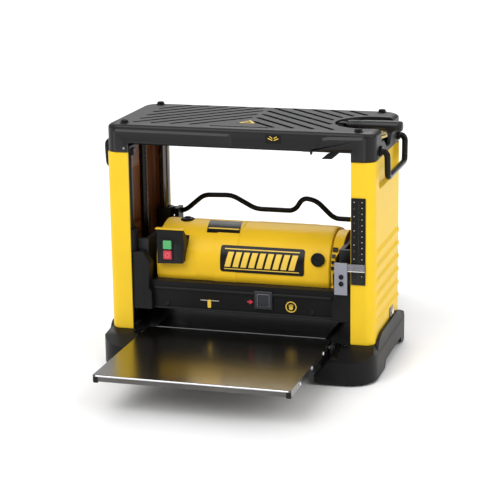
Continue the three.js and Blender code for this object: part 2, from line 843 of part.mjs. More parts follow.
// The chip chute covers the outlet behind the cutterhead.
function makeChipChute() {
  const outer = outline([
    [72 + GAP, DECK_TOP + GAP],
    [110, DECK_TOP + GAP],
    [116, 168],
    [72 + GAP, 204],
  ]);
  const inner = outline([
    [70, DECK_TOP + 3],
    [120, DECK_TOP + 3],
    [120, 164],
    [70, 198],
  ]);
  return piece(
    "chip_chute",
    cut(alongX(outer, [-120, 130]), alongX(inner, [-117, 127])),
    BLACK,
  );
}

// The lock bar is a bent rod that turns on its two ends.
function makeLockBar() {
  const low = LOCK_Z + 11;
  const high = LOCK_Z + 37;
  const route = [
    [-185.5, LOCK_Z],
    [-172, LOCK_Z],
    [-133, high - 2],
    [-77, high],
    [-30, low],
    [46, low],
    [63, high + 2],
    [89, high - 3],
    [123, LOCK_Z],
    [185.5, LOCK_Z],
  ];
  return piece(
    "lock_bar",
    bentRod(route.map(([x, z]) => [x, LOCK_Y, z]), 4.8, 10),
    BLACK,
  );
}

// ---------------------------------------------------------------- tables
function makeTable(name, end) {
  const y = (d) => end * d;
  const flange = outline([
    [y(TABLE_OUTER), BED_TOP],
    [y(TABLE_INNER), BED_TOP],
    [y(TABLE_INNER), 51],
    [y(146), 51],
    [y(160), 59.5],
    [y(TABLE_OUTER), 59.5],
  ]);
  const full = alongX(flange, [-TABLE_HALF_WIDTH, TABLE_HALF_WIDTH]);
  const hollow = block(
    [-TABLE_HALF_WIDTH + 2, TABLE_HALF_WIDTH - 2],
    mirror([100, TABLE_OUTER - 2], end),
    [40, BED_TOP - 2],
  );
  const rodHole = bar("x", ROD_RADIUS + GAP, [-180, 180], end * HINGE_Y, HINGE_Z, 16);
  return piece(name, cut(full, hollow, rodHole), STAINLESS);
}

const hingeRod = (name, end) =>
  piece(name, bar("x", ROD_RADIUS, [-LUG[1], LUG[1]], end * HINGE_Y, HINGE_Z, 16), STEEL);

// ---------------------------------------------------------------- assembly
const frameGroup = group(
  makeBase(),
  bedPlate,
  ...feet,
  ...SIDES.map(([name, side]) => makeSideCover(`side_cover_${name}`, side)),
  ...posts,
  depthScale,
  makeUpperFrame(),
  makeTopCover(),
  ...topBolts,
  bearingRing,
  makeLiftChain(),
  ...SIDES.map(([name, side]) => makeCarryHandle(`carry_handle_${name}`, side)),
  hingeRod("hinge_rod_front", -1),
  hingeRod("hinge_rod_rear", 1),
);

const crankGroup = group(
  leadScrew("lead_screw_right", 1, 422),
  makeCrankArm(),
  group(makeGripHinge(), makeCrankGrip()),
);

const carriageGroup = group(
  makeCarriage(),
  makeMotorHousing(),
  makeBeltCover(),
  makeBeltGuard(),
  makeSwitchBox(),
  button("start_button", GREEN),
  button("stop_button", RED),
  resetButton,
  makeMotorStator(),
  makeArmature(),
  driveBelt,
  makeCutterhead(),
  makeKnife("knife_front", -1),
  makeKnife("knife_rear", 1),
  roller("infeed_roller", -1),
  roller("outfeed_roller", 1),
  brushCap,
  gaugeWindow,
  gaugePointer,
  gaugeTab,
  pointerBracket,
  cursorLens,
  cordInlet,
  makeChipChute(),
  makeLockBar(),
);

const planer = group(
  frameGroup,
  leadScrew("lead_screw_left", -1, SPROCKET[1]),
  crankGroup,
  carriageGroup,
  makeTable("infeed_table", -1),
  makeTable("outfeed_table", 1),
);

export default planer;
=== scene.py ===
"""A portable thickness planer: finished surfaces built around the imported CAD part.

Lengths are written in millimetres and turned into metres when a mesh is made.
+X is to the operator's right, -Y is the infeed side, +Z is up.
"""

import math

import bmesh
import bpy
from mathutils import Matrix, Vector


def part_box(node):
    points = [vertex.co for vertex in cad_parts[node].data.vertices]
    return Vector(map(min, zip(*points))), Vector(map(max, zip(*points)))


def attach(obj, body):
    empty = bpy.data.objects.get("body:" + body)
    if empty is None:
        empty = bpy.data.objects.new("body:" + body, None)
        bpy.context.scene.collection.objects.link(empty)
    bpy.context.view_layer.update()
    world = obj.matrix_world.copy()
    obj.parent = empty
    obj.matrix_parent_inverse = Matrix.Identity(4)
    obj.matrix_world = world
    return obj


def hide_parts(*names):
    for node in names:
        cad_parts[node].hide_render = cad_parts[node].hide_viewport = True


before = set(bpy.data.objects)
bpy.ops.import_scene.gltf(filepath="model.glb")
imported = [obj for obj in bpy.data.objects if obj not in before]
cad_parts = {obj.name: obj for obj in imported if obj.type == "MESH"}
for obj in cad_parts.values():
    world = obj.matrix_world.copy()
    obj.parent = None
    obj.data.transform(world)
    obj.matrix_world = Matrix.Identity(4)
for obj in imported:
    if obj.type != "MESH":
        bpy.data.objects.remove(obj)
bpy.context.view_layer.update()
MM = 0.001
SIDES = {"left": -1, "right": 1}
ENDS = {"front": -1, "rear": 1}
INCH = 25.4
CORNERS = [
    (f"{end_name}_{side_name}", end, side)
    for side_name, side in SIDES.items()
    for end_name, end in ENDS.items()
]


class Span:
    """A CAD node's box, in millimetres."""

    def __init__(self, node):
        low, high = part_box(node)
        self.x0, self.y0, self.z0 = (v / MM for v in low)
        self.x1, self.y1, self.z1 = (v / MM for v in high)
        self.cx = (self.x0 + self.x1) / 2
        self.cy = (self.y0 + self.y1) / 2
        self.cz = (self.z0 + self.z1) / 2


# ------------------------------------------------------------------ camera, lights, floor
EYE = (0.8276, -2.8904, 0.9716)  # where the camera stands
EYE_RIGHT = (0.96112, 0.27581, -0.01292)  # the direction of its right, and of its top
EYE_UP = (-0.05703, 0.24407, 0.96808)
LENS = 121.06


def make_camera():
    """The camera stands ahead of the machine, a little to its right and above it."""
    data = bpy.data.cameras.new("camera")
    data.sensor_width = 36
    data.lens = LENS
    data.clip_end = 100
    camera = linked("camera", data)
    right, up = Vector(EYE_RIGHT).normalized(), Vector(EYE_UP)
    up = (up - right * up.dot(right)).normalized()
    turn = Matrix((right, up, right.cross(up))).transposed().to_4x4()
    camera.matrix_world = Matrix.Translation(EYE) @ turn
    bpy.context.scene.camera = camera


def make_sun(name, energy, spread, towards):
    data = bpy.data.lights.new(name, "SUN")
    data.energy = energy
    data.angle = math.radians(spread)
    linked(name, data).rotation_euler = Vector(towards).to_track_quat("-Z", "Y").to_euler()


def make_lights():
    """Broad soft lights from ahead, from the right and from behind, under a pale dome."""
    make_sun("key_light", 1.5, 40, (0.3, 0.75, -0.8))
    make_sun("side_light", 0.8, 50, (-0.9, 0.2, -0.55))
    make_sun("back_light", 1.0, 35, (0.15, -0.75, -0.65))
    world = bpy.data.worlds.new("studio")
    bpy.context.scene.world = world
    world.use_nodes = True
    nodes, links = world.node_tree.nodes, world.node_tree.links
    background = nodes["Background"]
    background.inputs["Strength"].default_value = 0.8
    place = nodes.new("ShaderNodeTexCoord")
    split = nodes.new("ShaderNodeSeparateXYZ")
    ramp = nodes.new("ShaderNodeValToRGB")
    low, high = ramp.color_ramp.elements
    low.position, low.color = 0.05, (0.3, 0.3, 0.31, 1)
    high.position, high.color = 0.65, (1, 1, 1, 1)
    middle = ramp.color_ramp.elements.new(0.3)
    middle.color = (0.42, 0.42, 0.43, 1)
    links.new(place.outputs["Generated"], split.inputs[0])
    links.new(split.outputs["Z"], ramp.inputs[0])
    links.new(ramp.outputs[0], background.inputs["Color"])


# ------------------------------------------------------------------ materials
def linear(red, green, blue):
    """A screen colour of 0 to 255 as linear light."""
    out = []
    for c in (red, green, blue):
        c /= 255
        out.append(c / 12.92 if c <= 0.04045 else ((c + 0.055) / 1.055) ** 2.4)
    return (*out, 1.0)


def material(
    name, colour, rough, metal=0.0, specular=0.5, grain=900.0, bump=0.15, mottle=0.06, edge_wear_and_highlight=0.0,
    stretch=(1, 1, 1), alpha=1.0, rough_swing=0.07,
):
    """A surface with fine grain, slow mottling of its colour and gloss, and paler edges that are
    partly wear and partly a painted edge highlight.
    """
    made = bpy.data.materials.new(name)
    made.use_nodes = True
    nodes, links = made.node_tree.nodes, made.node_tree.links
    shader = nodes["Principled BSDF"]
    shader.inputs["Metallic"].default_value = metal
    shader.inputs["Specular IOR Level"].default_value = specular
    shader.inputs["Alpha"].default_value = alpha
    place = nodes.new("ShaderNodeTexCoord")
    mapping = nodes.new("ShaderNodeMapping")
    mapping.inputs["Scale"].default_value = stretch
    links.new(place.outputs["Object"], mapping.inputs["Vector"])

    def noise(scale, detail):
        node = nodes.new("ShaderNodeTexNoise")
        node.inputs["Scale"].default_value = scale
        node.inputs["Detail"].default_value = detail
        links.new(mapping.outputs[0], node.inputs["Vector"])
        return node.outputs["Fac"]

    slow = noise(14.0, 4.0)
    fine = noise(grain, 2.0)
    tint = nodes.new("ShaderNodeValToRGB")
    dark = [c * (1 - mottle) for c in colour[:3]]
    pale = [min(1.0, c * (1 + mottle)) for c in colour[:3]]
    tint.color_ramp.elements[0].position = 0.3
    tint.color_ramp.elements[0].color = (*dark, 1)
    tint.color_ramp.elements[1].position = 0.7
    tint.color_ramp.elements[1].color = (*pale, 1)
    links.new(slow, tint.inputs[0])
    out = tint.outputs[0]
    # Convex edges are paled by pointiness: partly edge wear, partly a painted highlight where edges
    # catch the light.
    if edge_wear_and_highlight:
        shape = nodes.new("ShaderNodeNewGeometry")
        edge = nodes.new("ShaderNodeMapRange")
        edge.inputs["From Min"].default_value = 0.53
        edge.inputs["From Max"].default_value = 0.62
        edge.inputs["To Max"].default_value = edge_wear_and_highlight
        links.new(shape.outputs["Pointiness"], edge.inputs["Value"])
        mix = nodes.new("ShaderNodeMix")
        mix.data_type = "RGBA"
        mix.inputs[7].default_value = (*[min(1.0, c * 2.2 + 0.03) for c in colour[:3]], 1)
        links.new(edge.outputs[0], mix.inputs[0])
        links.new(out, mix.inputs[6])
        out = mix.outputs[2]
    links.new(out, shader.inputs["Base Color"])
    gloss = nodes.new("ShaderNodeMapRange")
    gloss.inputs["To Min"].default_value = max(0.02, rough - rough_swing)
    gloss.inputs["To Max"].default_value = rough + rough_swing
    links.new(slow, gloss.inputs["Value"])
    links.new(gloss.outputs[0], shader.inputs["Roughness"])
    relief = nodes.new("ShaderNodeBump")
    relief.inputs["Strength"].default_value = bump
    relief.inputs["Distance"].default_value = 0.0004
    links.new(fine, relief.inputs["Height"])
    links.new(relief.outputs[0], shader.inputs["Normal"])
    return made


def make_materials():
    brushed = {"stretch": (60, 1, 1), "grain": 40.0}
    return {
        "yellow": material(
            "yellow_shell", linear(240, 199, 40), 0.4, specular=0.2, mottle=0.03, bump=0.05
        ),
        # A darker amber copy of the yellow shell: painted shade for the insides of the side covers.
        "painted_shade_amber": material("shaded_shell", linear(150, 82, 15), 0.42, mottle=0.12, bump=0.06),
        "housing": material(
            "yellow_housing", linear(240, 193, 38), 0.42, specular=0.16, mottle=0.04, bump=0.06
        ),
        "cast": material(
            "black_casting", linear(18, 18, 20), 0.42, specular=0.18, bump=0.12, edge_wear_and_highlight=0.5, mottle=0.15
        ),
        "plastic": material(
            "black_plastic", linear(16, 16, 18), 0.38, specular=0.18, bump=0.1, edge_wear_and_highlight=0.35, mottle=0.12
        ),
        "cover": material(
            "textured_cover", linear(21, 21, 23), 0.4, specular=0.28, bump=0.12, grain=1500.0,
            edge_wear_and_highlight=0.4, mottle=0.1,
        ),
        "gloss": material("black_enamel", linear(9, 9, 10), 0.18, specular=0.2, bump=0.02, mottle=0.1),
        "grip": material("grip_plastic", linear(22, 22, 23), 0.42, specular=0.4, bump=0.2, mottle=0.1),
        "chrome": material(
            "ground_steel", linear(205, 207, 212), 0.16, metal=1.0, mottle=0.05, bump=0.02
        ),
        # Darkened steel for the rear guide posts: painted shade standing in for their dark reflections
        # inside the columns.
        "post": material("post_steel_painted_shade", linear(92, 90, 88), 0.14, metal=1.0, mottle=0.15, bump=0.02),
        "steel": material(
            "bright_steel", linear(150, 152, 156), 0.34, metal=1.0, mottle=0.12, bump=0.1, **brushed
        ),
        # Dark steel: partly the dark thread itself, partly painted shade so the lead screws read as in
        # shadow inside the columns.
        "screw": material("screw_thread", linear(52, 50, 48), 0.36, metal=1.0, mottle=0.2, bump=0.1),
        # Darkened steel: painted shade, so the bed reads as in shadow under the carriage.
        "bed": material(
            "bed_steel_painted_shade", linear(92, 92, 92), 0.24, metal=1.0, mottle=0.08, bump=0.05,
            rough_swing=0.04, stretch=(1, 70, 1), grain=60.0,
        ),
        "stainless": material(
            "brushed_stainless", linear(144, 142, 138), 0.2, metal=1.0, mottle=0.05, bump=0.05,
            rough_swing=0.03, stretch=(1, 70, 1), grain=60.0,
        ),
        # Very bright polished steel; on the tables' lips it is brighter than the tables as a painted
        # highlight along their edges.
        "lip": material("polished_lip_and_highlight", linear(225, 226, 228), 0.2, metal=1.0, mottle=0.04, bump=0.03),
        "rubber": material("rubber", linear(26, 26, 27), 0.85, specular=0.2, bump=0.4, mottle=0.15),
        "roller": material(
            "roller_rubber", linear(58, 58, 60), 0.8, specular=0.2, bump=0.4, mottle=0.15
        ),
        "zinc": material("zinc_plate", linear(208, 186, 120), 0.3, metal=1.0, mottle=0.12, bump=0.08),
        "green": material("green_button", linear(84, 178, 106), 0.4, mottle=0.05, bump=0.08),
        "red": material("red_button", linear(206, 48, 66), 0.4, mottle=0.05, bump=0.08),
        "blush": material("pink_print", linear(222, 120, 128), 0.5, mottle=0.04, bump=0.03),
        "mark": material("pale_print", linear(214, 212, 204), 0.5, mottle=0.04, bump=0.03),
        "print": material("faint_print", linear(98, 96, 90), 0.5, mottle=0.04, bump=0.03),
        "gold": material("yellow_print", linear(240, 200, 70), 0.45, mottle=0.04, bump=0.03),
        "decal": material("dark_decal", linear(15, 13, 10), 0.36, specular=0.2, mottle=0.1, bump=0.03),
        "smoke": material("smoked_plastic", linear(140, 141, 152), 0.3, mottle=0.06, bump=0.05),
        "window": material("dark_window", linear(46, 47, 50), 0.25, mottle=0.1, bump=0.05),
        "lens": material(
            "clear_lens", linear(120, 122, 128), 0.06, specular=0.2, alpha=0.03, mottle=0.02, bump=0.01
        ),
        "haze": material("hazy_lens", linear(150, 148, 158), 0.2, alpha=0.45, mottle=0.05, bump=0.02),
        "tyre": material("belt_rubber", linear(22, 22, 23), 0.7, specular=0.25, bump=0.3, mottle=0.1),
    }


# ------------------------------------------------------------------ mesh tools
def linked(name, data):
    """An object in the scene, made from a mesh, a curve, a lamp or a camera."""
    obj = bpy.data.objects.new(name, data)
    bpy.context.scene.collection.objects.link(obj)
    return obj


def new_object(name, points, faces):
    """A mesh object from points in millimetres."""
    mesh = bpy.data.meshes.new(name)
    mesh.from_pydata([[c * MM for c in p] for p in points], [], faces)
    mesh.validate()
    tidy_mesh(mesh)
    return linked(name, mesh)


def tidy_mesh(mesh):
    """Joins doubled points and turns every face outwards."""
    work = bmesh.new()
    work.from_mesh(mesh)
    bmesh.ops.remove_doubles(work, verts=work.verts, dist=0.02 * MM)
    bmesh.ops.recalc_face_normals(work, faces=work.faces)
    work.to_mesh(mesh)
    work.free()


def spread(axis, a, b, along):
    """A point from two coordinates across an axis and one along it."""
    if axis == "x":
        return (along, a, b)
    if axis == "y":
        return (a, along, b)
    return (a, b, along)


def prism(name, outline, axis, low, high):
    """A closed outline drawn out along an axis: (y, z) along x, (x, z) along y, (x, y) along z."""
    n = len(outline)
    points = [spread(axis, a, b, low) for a, b in outline]
    points += [spread(axis, a, b, high) for a, b in outline]
    faces = [list(range(n)), list(range(n, 2 * n))]
    faces += [[i, (i + 1) % n, n + (i + 1) % n, n + i] for i in range(n)]
    return new_object(name, points, faces)


def box(name, x, y, z):
    return prism(name, [(x[0], y[0]), (x[1], y[0]), (x[1], y[1]), (x[0], y[1])], "z", *z)


def loft(name, rings, closed_ends=True):
    """Skins a list of rings that all hold the same number of points."""
    n = len(rings[0])
    points = [p for ring in rings for p in ring]
    faces = []
    for a in range(0, len(points) - n, n):
        b = a + n
        faces += [[a + i, a + (i + 1) % n, b + (i + 1) % n, b + i] for i in range(n)]
    if closed_ends:
        faces += [list(range(n)), list(range(len(points) - n, len(points)))]
    return new_object(name, points, faces)


def lathe(name, profile, axis, a, b, sides=48):
    """A turned piece from (radius, along) pairs, round a line through (a, b)."""
    rings = [
        [spread(axis, p, q, along) for p, q in disc(a, b, radius, sides)] for radius, along in profile
    ]
    return loft(name, rings)


def screw_head(name, profile, axis, a, b, seat, sides=24):
    """A turned head on a surface: its profile is measured along the axis from that seat."""
    return lathe(name, [(radius, seat + along) for radius, along in profile], axis, a, b, sides)


def arc(cx, cy, radius, start, stop, steps):
    """Points on an arc, with its angles in degrees."""
    turns = [math.radians(start + (stop - start) * i / steps) for i in range(steps + 1)]
    return [(cx + radius * math.cos(turn), cy + radius * math.sin(turn)) for turn in turns]


def round_rectangle(x0, x1, y0, y1, radius, steps=6):
    outline = []
    right, left, low, high = x1 - radius, x0 + radius, y0 + radius, y1 - radius
    for i, centre in enumerate(((right, low), (right, high), (left, high), (left, low))):
        outline += arc(*centre, radius, 90 * i - 90, 90 * i, steps)
    return outline


def disc(cx, cy, radius, steps=32):
    return arc(cx, cy, radius, 0, 360, steps)[:-1]


def rounded_path(corners, bend, steps=8):
    """A path through corner points, each rounded by a curve that starts bend away from it."""
    corners = [Vector(c) for c in corners]
    path = [corners[0]]
    for before, here, after in zip(corners, corners[1:], corners[2:]):
        enter = here + (before - here).normalized() * bend
        leave = here + (after - here).normalized() * bend
        for i in range(steps + 1):
            t = i / steps
            path.append(enter * (1 - t) ** 2 + here * 2 * t * (1 - t) + leave * t**2)
    path.append(corners[-1])
    return path


def rod(name, corners, radius, bend, sides=20):
    """A round rod along a path with rounded corners."""
    path = rounded_path(corners, bend)
    side = Vector((0, 1, 0))
    rings = []
    for i, here in enumerate(path):
        ahead = path[min(i + 1, len(path) - 1)] - path[max(i - 1, 0)]
        ahead.normalize()
        side = (side - ahead * side.dot(ahead)).normalized()
        other = ahead.cross(side)
        ring = []
        for k in range(sides):
            turn = math.tau * k / sides
            ring.append(here + (side * math.cos(turn) + other * math.sin(turn)) * radius)
        rings.append(ring)
    return loft(name, rings)


def joined(name, parts):
    """Several mesh objects as one, each still its own closed shell."""
    work = bmesh.new()
    for part in parts:
        work.from_mesh(part.data)
        bpy.data.objects.remove(part)
    mesh = bpy.data.meshes.new(name)
    work.to_mesh(mesh)
    work.free()
    return linked(name, mesh)


def applied(obj):
    """Replaces an object's mesh by what its modifiers make of it."""
    bpy.context.view_layer.update()
    seen = obj.evaluated_get(bpy.context.evaluated_depsgraph_get())
    mesh = bpy.data.meshes.new_from_object(seen)
    obj.modifiers.clear()
    obj.data = mesh
    return obj


def combine(obj, tool, operation):
    change = obj.modifiers.new("change", "BOOLEAN")
    change.object = tool
    change.operation = operation
    change.solver = "EXACT"
    applied(obj)
    bpy.data.objects.remove(tool)
    return obj


def carve(obj, *tools):
    for tool in tools:
        combine(obj, tool, "DIFFERENCE")
    return obj


def drill(obj, axis, a, b, radius, low, high, sides=32):
    """Cuts a round hole through (a, b) along an axis."""
    return combine(obj, prism("hole", disc(a, b, radius, sides), axis, low, high), "DIFFERENCE")


def mirrored(obj, name):
    """The same piece on the other side of the machine."""
    mesh = obj.data.copy()
    mesh.transform(Matrix.Diagonal((-1, 1, 1, 1)))
    mesh.flip_normals()
    return linked(name, mesh)


def flatten(mesh, angle=1.0):
    """Merges the triangles of each flat face."""
    work = bmesh.new()
    work.from_mesh(mesh)
    bmesh.ops.remove_doubles(work, verts=work.verts, dist=0.02 * MM)
    bmesh.ops.dissolve_limit(work, angle_limit=math.radians(angle), verts=work.verts, edges=work.edges)
    work.to_mesh(mesh)
    work.free()


def dress(obj, body, look, bevel=0.0, stands_for=(), sharp=35.0, segments=2):
    """Gives a piece its material, edge rounding and shading, and puts it on its body."""
    obj.data.materials.clear()
    obj.data.materials.append(LOOKS[look])
    for face in obj.data.polygons:
        face.material_index = 0
    obj.data.shade_smooth()
    if bevel:
        edges = obj.modifiers.new("edges", "BEVEL")
        edges.width = bevel * MM
        edges.segments = segments
        edges.limit_method = "ANGLE"
        edges.angle_limit = math.radians(sharp)
        edges.use_clamp_overlap = True
    else:
        obj.data.set_sharp_from_angle(angle=math.radians(sharp))
    normals = obj.modifiers.new("normals", "WEIGHTED_NORMAL")
    normals.keep_sharp = True
    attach(obj, body)
    if stands_for:
        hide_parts(*stands_for)
    return obj


def cad_copy(node):
    """A new piece with the shape of a CAD node, its flat faces merged."""
    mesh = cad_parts[node].data.copy()
    flatten(mesh)
    return linked(node + "_skin", mesh)


def refine(node, body, look, bevel, sharp=35.0, segments=2):
    """A CAD node with rounded edges and smooth round faces."""
    return dress(cad_copy(node), body, look, bevel, (node,), sharp, segments)


def smoothstep(low, high, value):
    t = min(1.0, max(0.0, (value - low) / (high - low)))
    return t * t * (3 - 2 * t)


# ------------------------------------------------------------------ top cover
COVER = Span("top_cover")
COLUMN = Span("side_cover_right")
SCREW = Span("lead_screw_right")
GROOVE_STEP = 36.0
GROOVE_FIRST = 5.0  # where the first groove's line meets the middle, measured along Y
GROOVE_WIDTH = 8.5
GROOVE_DEPTH = 2.8
GROOVE_X = (7.0, 199.0)  # how near the middle and how far out the grooves run
GROOVE_Y = (-88.0, 101.0)
COVER_EDGE = 8.0
RECESS_RADIUS = 62.0
RECESS_FLOOR = Span("crank_bearing_ring").z0 - 0.3


def cover_ring(inset, z, steps=10):
    """The cover's plan at one height: a rounded rectangle whose short sides bow out at the top."""
    hx, hy = COVER.x1 - inset, COVER.y1 - inset
    ring = []
    for x, y in round_rectangle(-hx, hx, -hy, hy, 22.0 - inset * 0.4, steps):
        bow = (3.0 - 11.0 * (y / hy) ** 2) * inset / COVER_EDGE
        ring.append((x * (1 + bow / hx), y, z))
    return ring


def groove_span(level, side):
    """How far from the middle a groove starts and stops; its line is y = level - |x|."""
    near = max(GROOVE_X[0], level - GROOVE_Y[1])
    far = min(GROOVE_X[1], level - GROOVE_Y[0])
    if side < 0:
        return near, far
    # On the crank's side a groove stops short of the ring round the recess.
    x = near
    while x < far and math.hypot(x - SCREW.cx, level - x - SCREW.cy) > RECESS_RADIUS + 11:
        x += 1
    return near, x


def cover_grooves():
    """Sloping grooves that meet in a row of chevrons along the middle."""
    top = COVER.z1
    tools = []
    half = GROOVE_WIDTH / 2
    for side in SIDES.values():
        for i in range(-1 if side > 0 else 0, 8):
            level = GROOVE_FIRST + GROOVE_STEP * i
            near, far = groove_span(level, side)
            if far - near < 14:
                continue
            outline = arc(-near, level - near, half, -45, 135, 6)
            outline += arc(-far, level - far, half, 135, 315, 6)
            outline = [(-side * x, y) for x, y in outline]
            tools.append(prism("groove", outline, "z", top - GROOVE_DEPTH, top + 3))
    front = round_rectangle(-57, 52, -98, -92, 2.9, 4)
    tools.append(prism("groove", front, "z", top - GROOVE_DEPTH, top + 3))
    return joined("grooves", tools)


def make_top_cover():
    bottom, top = COVER.z0, COVER.z1
    edge = COVER_EDGE
    rings = [cover_ring(0.6, bottom), cover_ring(0.0, bottom + 1.0), cover_ring(0, top - edge - 1.5)]
    for i in range(1, 7):
        turn = math.radians(15 * i)
        rings.append(cover_ring(edge * (1 - math.cos(turn)), top - edge * (1 - math.sin(turn))))
    cover = loft("cover_shell", rings)
    cavity = loft(
        "cavity", [cover_ring(4.0, bottom - 5), cover_ring(4.0, top - 11), cover_ring(6.0, top - 7)]
    )
    carve(cover, cavity)
    inner = COLUMN.x0
    skirt = 408.5
    slope = 3.0
    span = [
        (-inner, bottom - 5), (inner, bottom - 5), (inner, skirt - slope), (inner - slope, skirt),
        (-inner + slope, skirt), (-inner, skirt - slope),
    ]
    carve(cover, prism("span", span, "y", -140, 140))
    circle = disc(SCREW.cx, SCREW.cy, RECESS_RADIUS + 4, 64)
    wall = prism("wall", circle, "z", RECESS_FLOOR - 3.5, top - 5)
    trim = prism("trim", round_rectangle(100, COVER.x1 - 1, -100, 100, 10), "z", 400, top)
    combine(wall, trim, "INTERSECT")
    combine(cover, wall, "UNION")
    r, floor = RECESS_RADIUS, RECESS_FLOOR
    profile = [
        (r - 4, floor), (r - 1, floor + 1), (r, floor + 4), (r, top - 2.5), (r + 1, top - 0.8),
        (r + 3.5, top + 0.1), (r + 3.5, top + 5),
    ]
    carve(cover, lathe("recess", profile, "z", SCREW.cx, SCREW.cy, 72))
    drill(cover, "z", SCREW.cx, SCREW.cy, 8, 400, 450)
    notch = [(-44, 421), (-12, 400), (16, 400), (38, 421)]
    carve(cover, prism("notch", notch, "x", 238, 260))
    carve(cover, cover_grooves())
    flatten(cover.data, 0.5)
    dress(cover, "frame", "cover", 0.7, ("top_cover",), 32, 2)


def make_cover_trim():
    """The raised panels on the cover's long faces, with sloped borders."""
    face = -COVER.y1
    low = COVER.z0 + 0.4
    right = [
        (126, 408.9), (133.7, 413.4), (142.6, 419), (147.9, 426), (153, 431.7), (164, 434),
        (226, 435.4), (230, 431), (230, low), (204.3, low), (204.3, 408.9),
    ]
    left = [
        (-230, low), (-204.3, low), (-204.3, 408.9), (-10.5, 408.9), (-10.5, 429), (-14, 432),
        (-226, 433), (-230, 429),
    ]
    for name, outline, rise, slope in (("right", right, 3.2, 4.8), ("left", left, 2.2, 4.0)):
        for end_name, end in ENDS.items():
            panel = raised_panel(outline, face, -rise, slope)
            if end > 0:
                for point in panel.data.vertices:
                    point.co.x *= -1
                    point.co.y *= -1
            panel.name = f"cover_panel_{name}_{end_name}"
            tidy_mesh(panel.data)
            dress(panel, "frame", "cover", 0, (), 15)


def raised_panel(outline, face, rise, slope):
    """A panel standing off a face at y = face, with its border sloped back over its rise."""
    n = len(outline)
    area = sum(
        outline[i][0] * outline[(i + 1) % n][1] - outline[(i + 1) % n][0] * outline[i][1]
        for i in range(n)
    )
    sign = 1 if area > 0 else -1
    inner = []
    for i in range(n):
        before, here, after = (Vector(outline[(i + k) % n]) for k in (-1, 0, 1))
        d1, d2 = (here - before).normalized(), (after - here).normalized()
        n1 = Vector((-d1.y, d1.x)) * sign
        n2 = Vector((-d2.y, d2.x)) * sign
        middle = (n1 + n2).normalized()
        inner.append(here + middle * slope / max(0.5, middle.dot(n1)))
    rings = [
        [(x, face + 2.5, z) for x, z in outline], [(x, face - 0.02, z) for x, z in outline],
        [(p.x, face + rise, p.y) for p in inner],
    ]
    return loft("panel", rings)


def make_cover_badge():
    """A small dark badge with a plain double chevron, and the sticker on top."""
    face = -COVER.y1
    plate = prism("cover_badge", round_rectangle(52, 80, 418.5, 433.5, 2), "y", face - 0.5, face + 1)
    dress(plate, "frame", "decal", 0.2)
    wings = []
    for side in (-1, 1):
        for i in range(2):
            tip, z = 66 + side * 1.4, 423.2 + 3.4 * i
            end = 66 + side * (9.5 - 3 * i)
            wing = [(tip, z), (end, z + 3.6), (end, z + 5.0), (tip, z + 1.7)]
            wings.append(prism("wing", wing, "y", face - 0.75, face - 0.3))
    dress(joined("cover_badge_mark", wings), "frame", "gold")
    top = COVER.z1
    sign = prism("top_sticker", [(-19, -64), (23, -64), (2, -26)], "z", top - 0.3, top + 0.25)
    dress(sign, "frame", "decal", 0.1)
    inner = prism("sign", [(-13, -60), (17, -60), (2, -33)], "z", top, top + 0.4)
    middle = prism("sign", [(-7.5, -57), (11.5, -57), (2, -40)], "z", top - 1, top + 1)
    dress(carve(inner, middle), "frame", "gold")
    inner.name = "top_sticker_mark"


def make_top_bolts():
    for corner, _, _ in CORNERS:
        node = f"top_bolt_{corner}"
        b = Span(node)
        low, high = b.z0, b.z1
        profile = [(8.5, low), (8.5, low + 0.9), (6.9, low + 1.2), (6.7, high - 1.2), (5.6, high)]
        head = lathe(node + "_skin", profile, "z", b.cx, b.cy, 32)
        drill(head, "z", b.cx, b.cy, 3.2, b.z1 - 2.6, b.z1 + 1, 6)
        dress(head, "frame", "gloss", 0.3, (node,))


# ------------------------------------------------------------------ crank
def make_crank():
    ring = Span("crank_bearing_ring")
    low, high = ring.z0, ring.z1
    profile = [(8, low), (30, low), (30, high - 1), (29, high), (24, high), (23.4, high - 1.2)]
    profile += [(17.5, high - 1.2), (17, high), (8, high)]
    turned = lathe("crank_bearing_skin", profile, "z", ring.cx, ring.cy, 64)
    drill(turned, "z", ring.cx, ring.cy, 8, low - 2, high + 2)
    dress(turned, "frame", "zinc", 0.25, ("crank_bearing_ring",))
    refine("crank_arm", "crank", "plastic", 1.2)
    refine("grip_hinge", "grip_hinge", "gloss", 0.6)
    g = Span("crank_grip")
    start, end, radius = g.x0, g.x1, (g.z1 - g.z0) / 2
    profile = [(4.4, start), (6.4, start), (7.4, start + 1.2), (7.9, start + 5)]
    for i in range(5):
        x = start + 9 + 3.2 * i
        profile += [(8.4, x), (8.4, x + 1.8), (7.9, x + 2.2), (7.9, x + 2.8)]
    profile += [(8.9, start + 30), (radius, end - 26), (radius, end - 10)]
    profile += [(radius - 0.7, end - 9.2), (radius - 0.7, end - 7.6), (radius, end - 6.8)]
    profile += [(radius - 0.3, end - 3), (radius - 1.6, end - 0.7), (radius - 4, end), (0.4, end)]
    grip = lathe("crank_grip_skin", profile, "x", g.cy, g.cz, 48)
    drill(grip, "x", g.cy, g.cz, 4.4, start - 3, end - 9.5)
    dress(grip, "grip", "grip", 0, ("crank_grip",), 30)


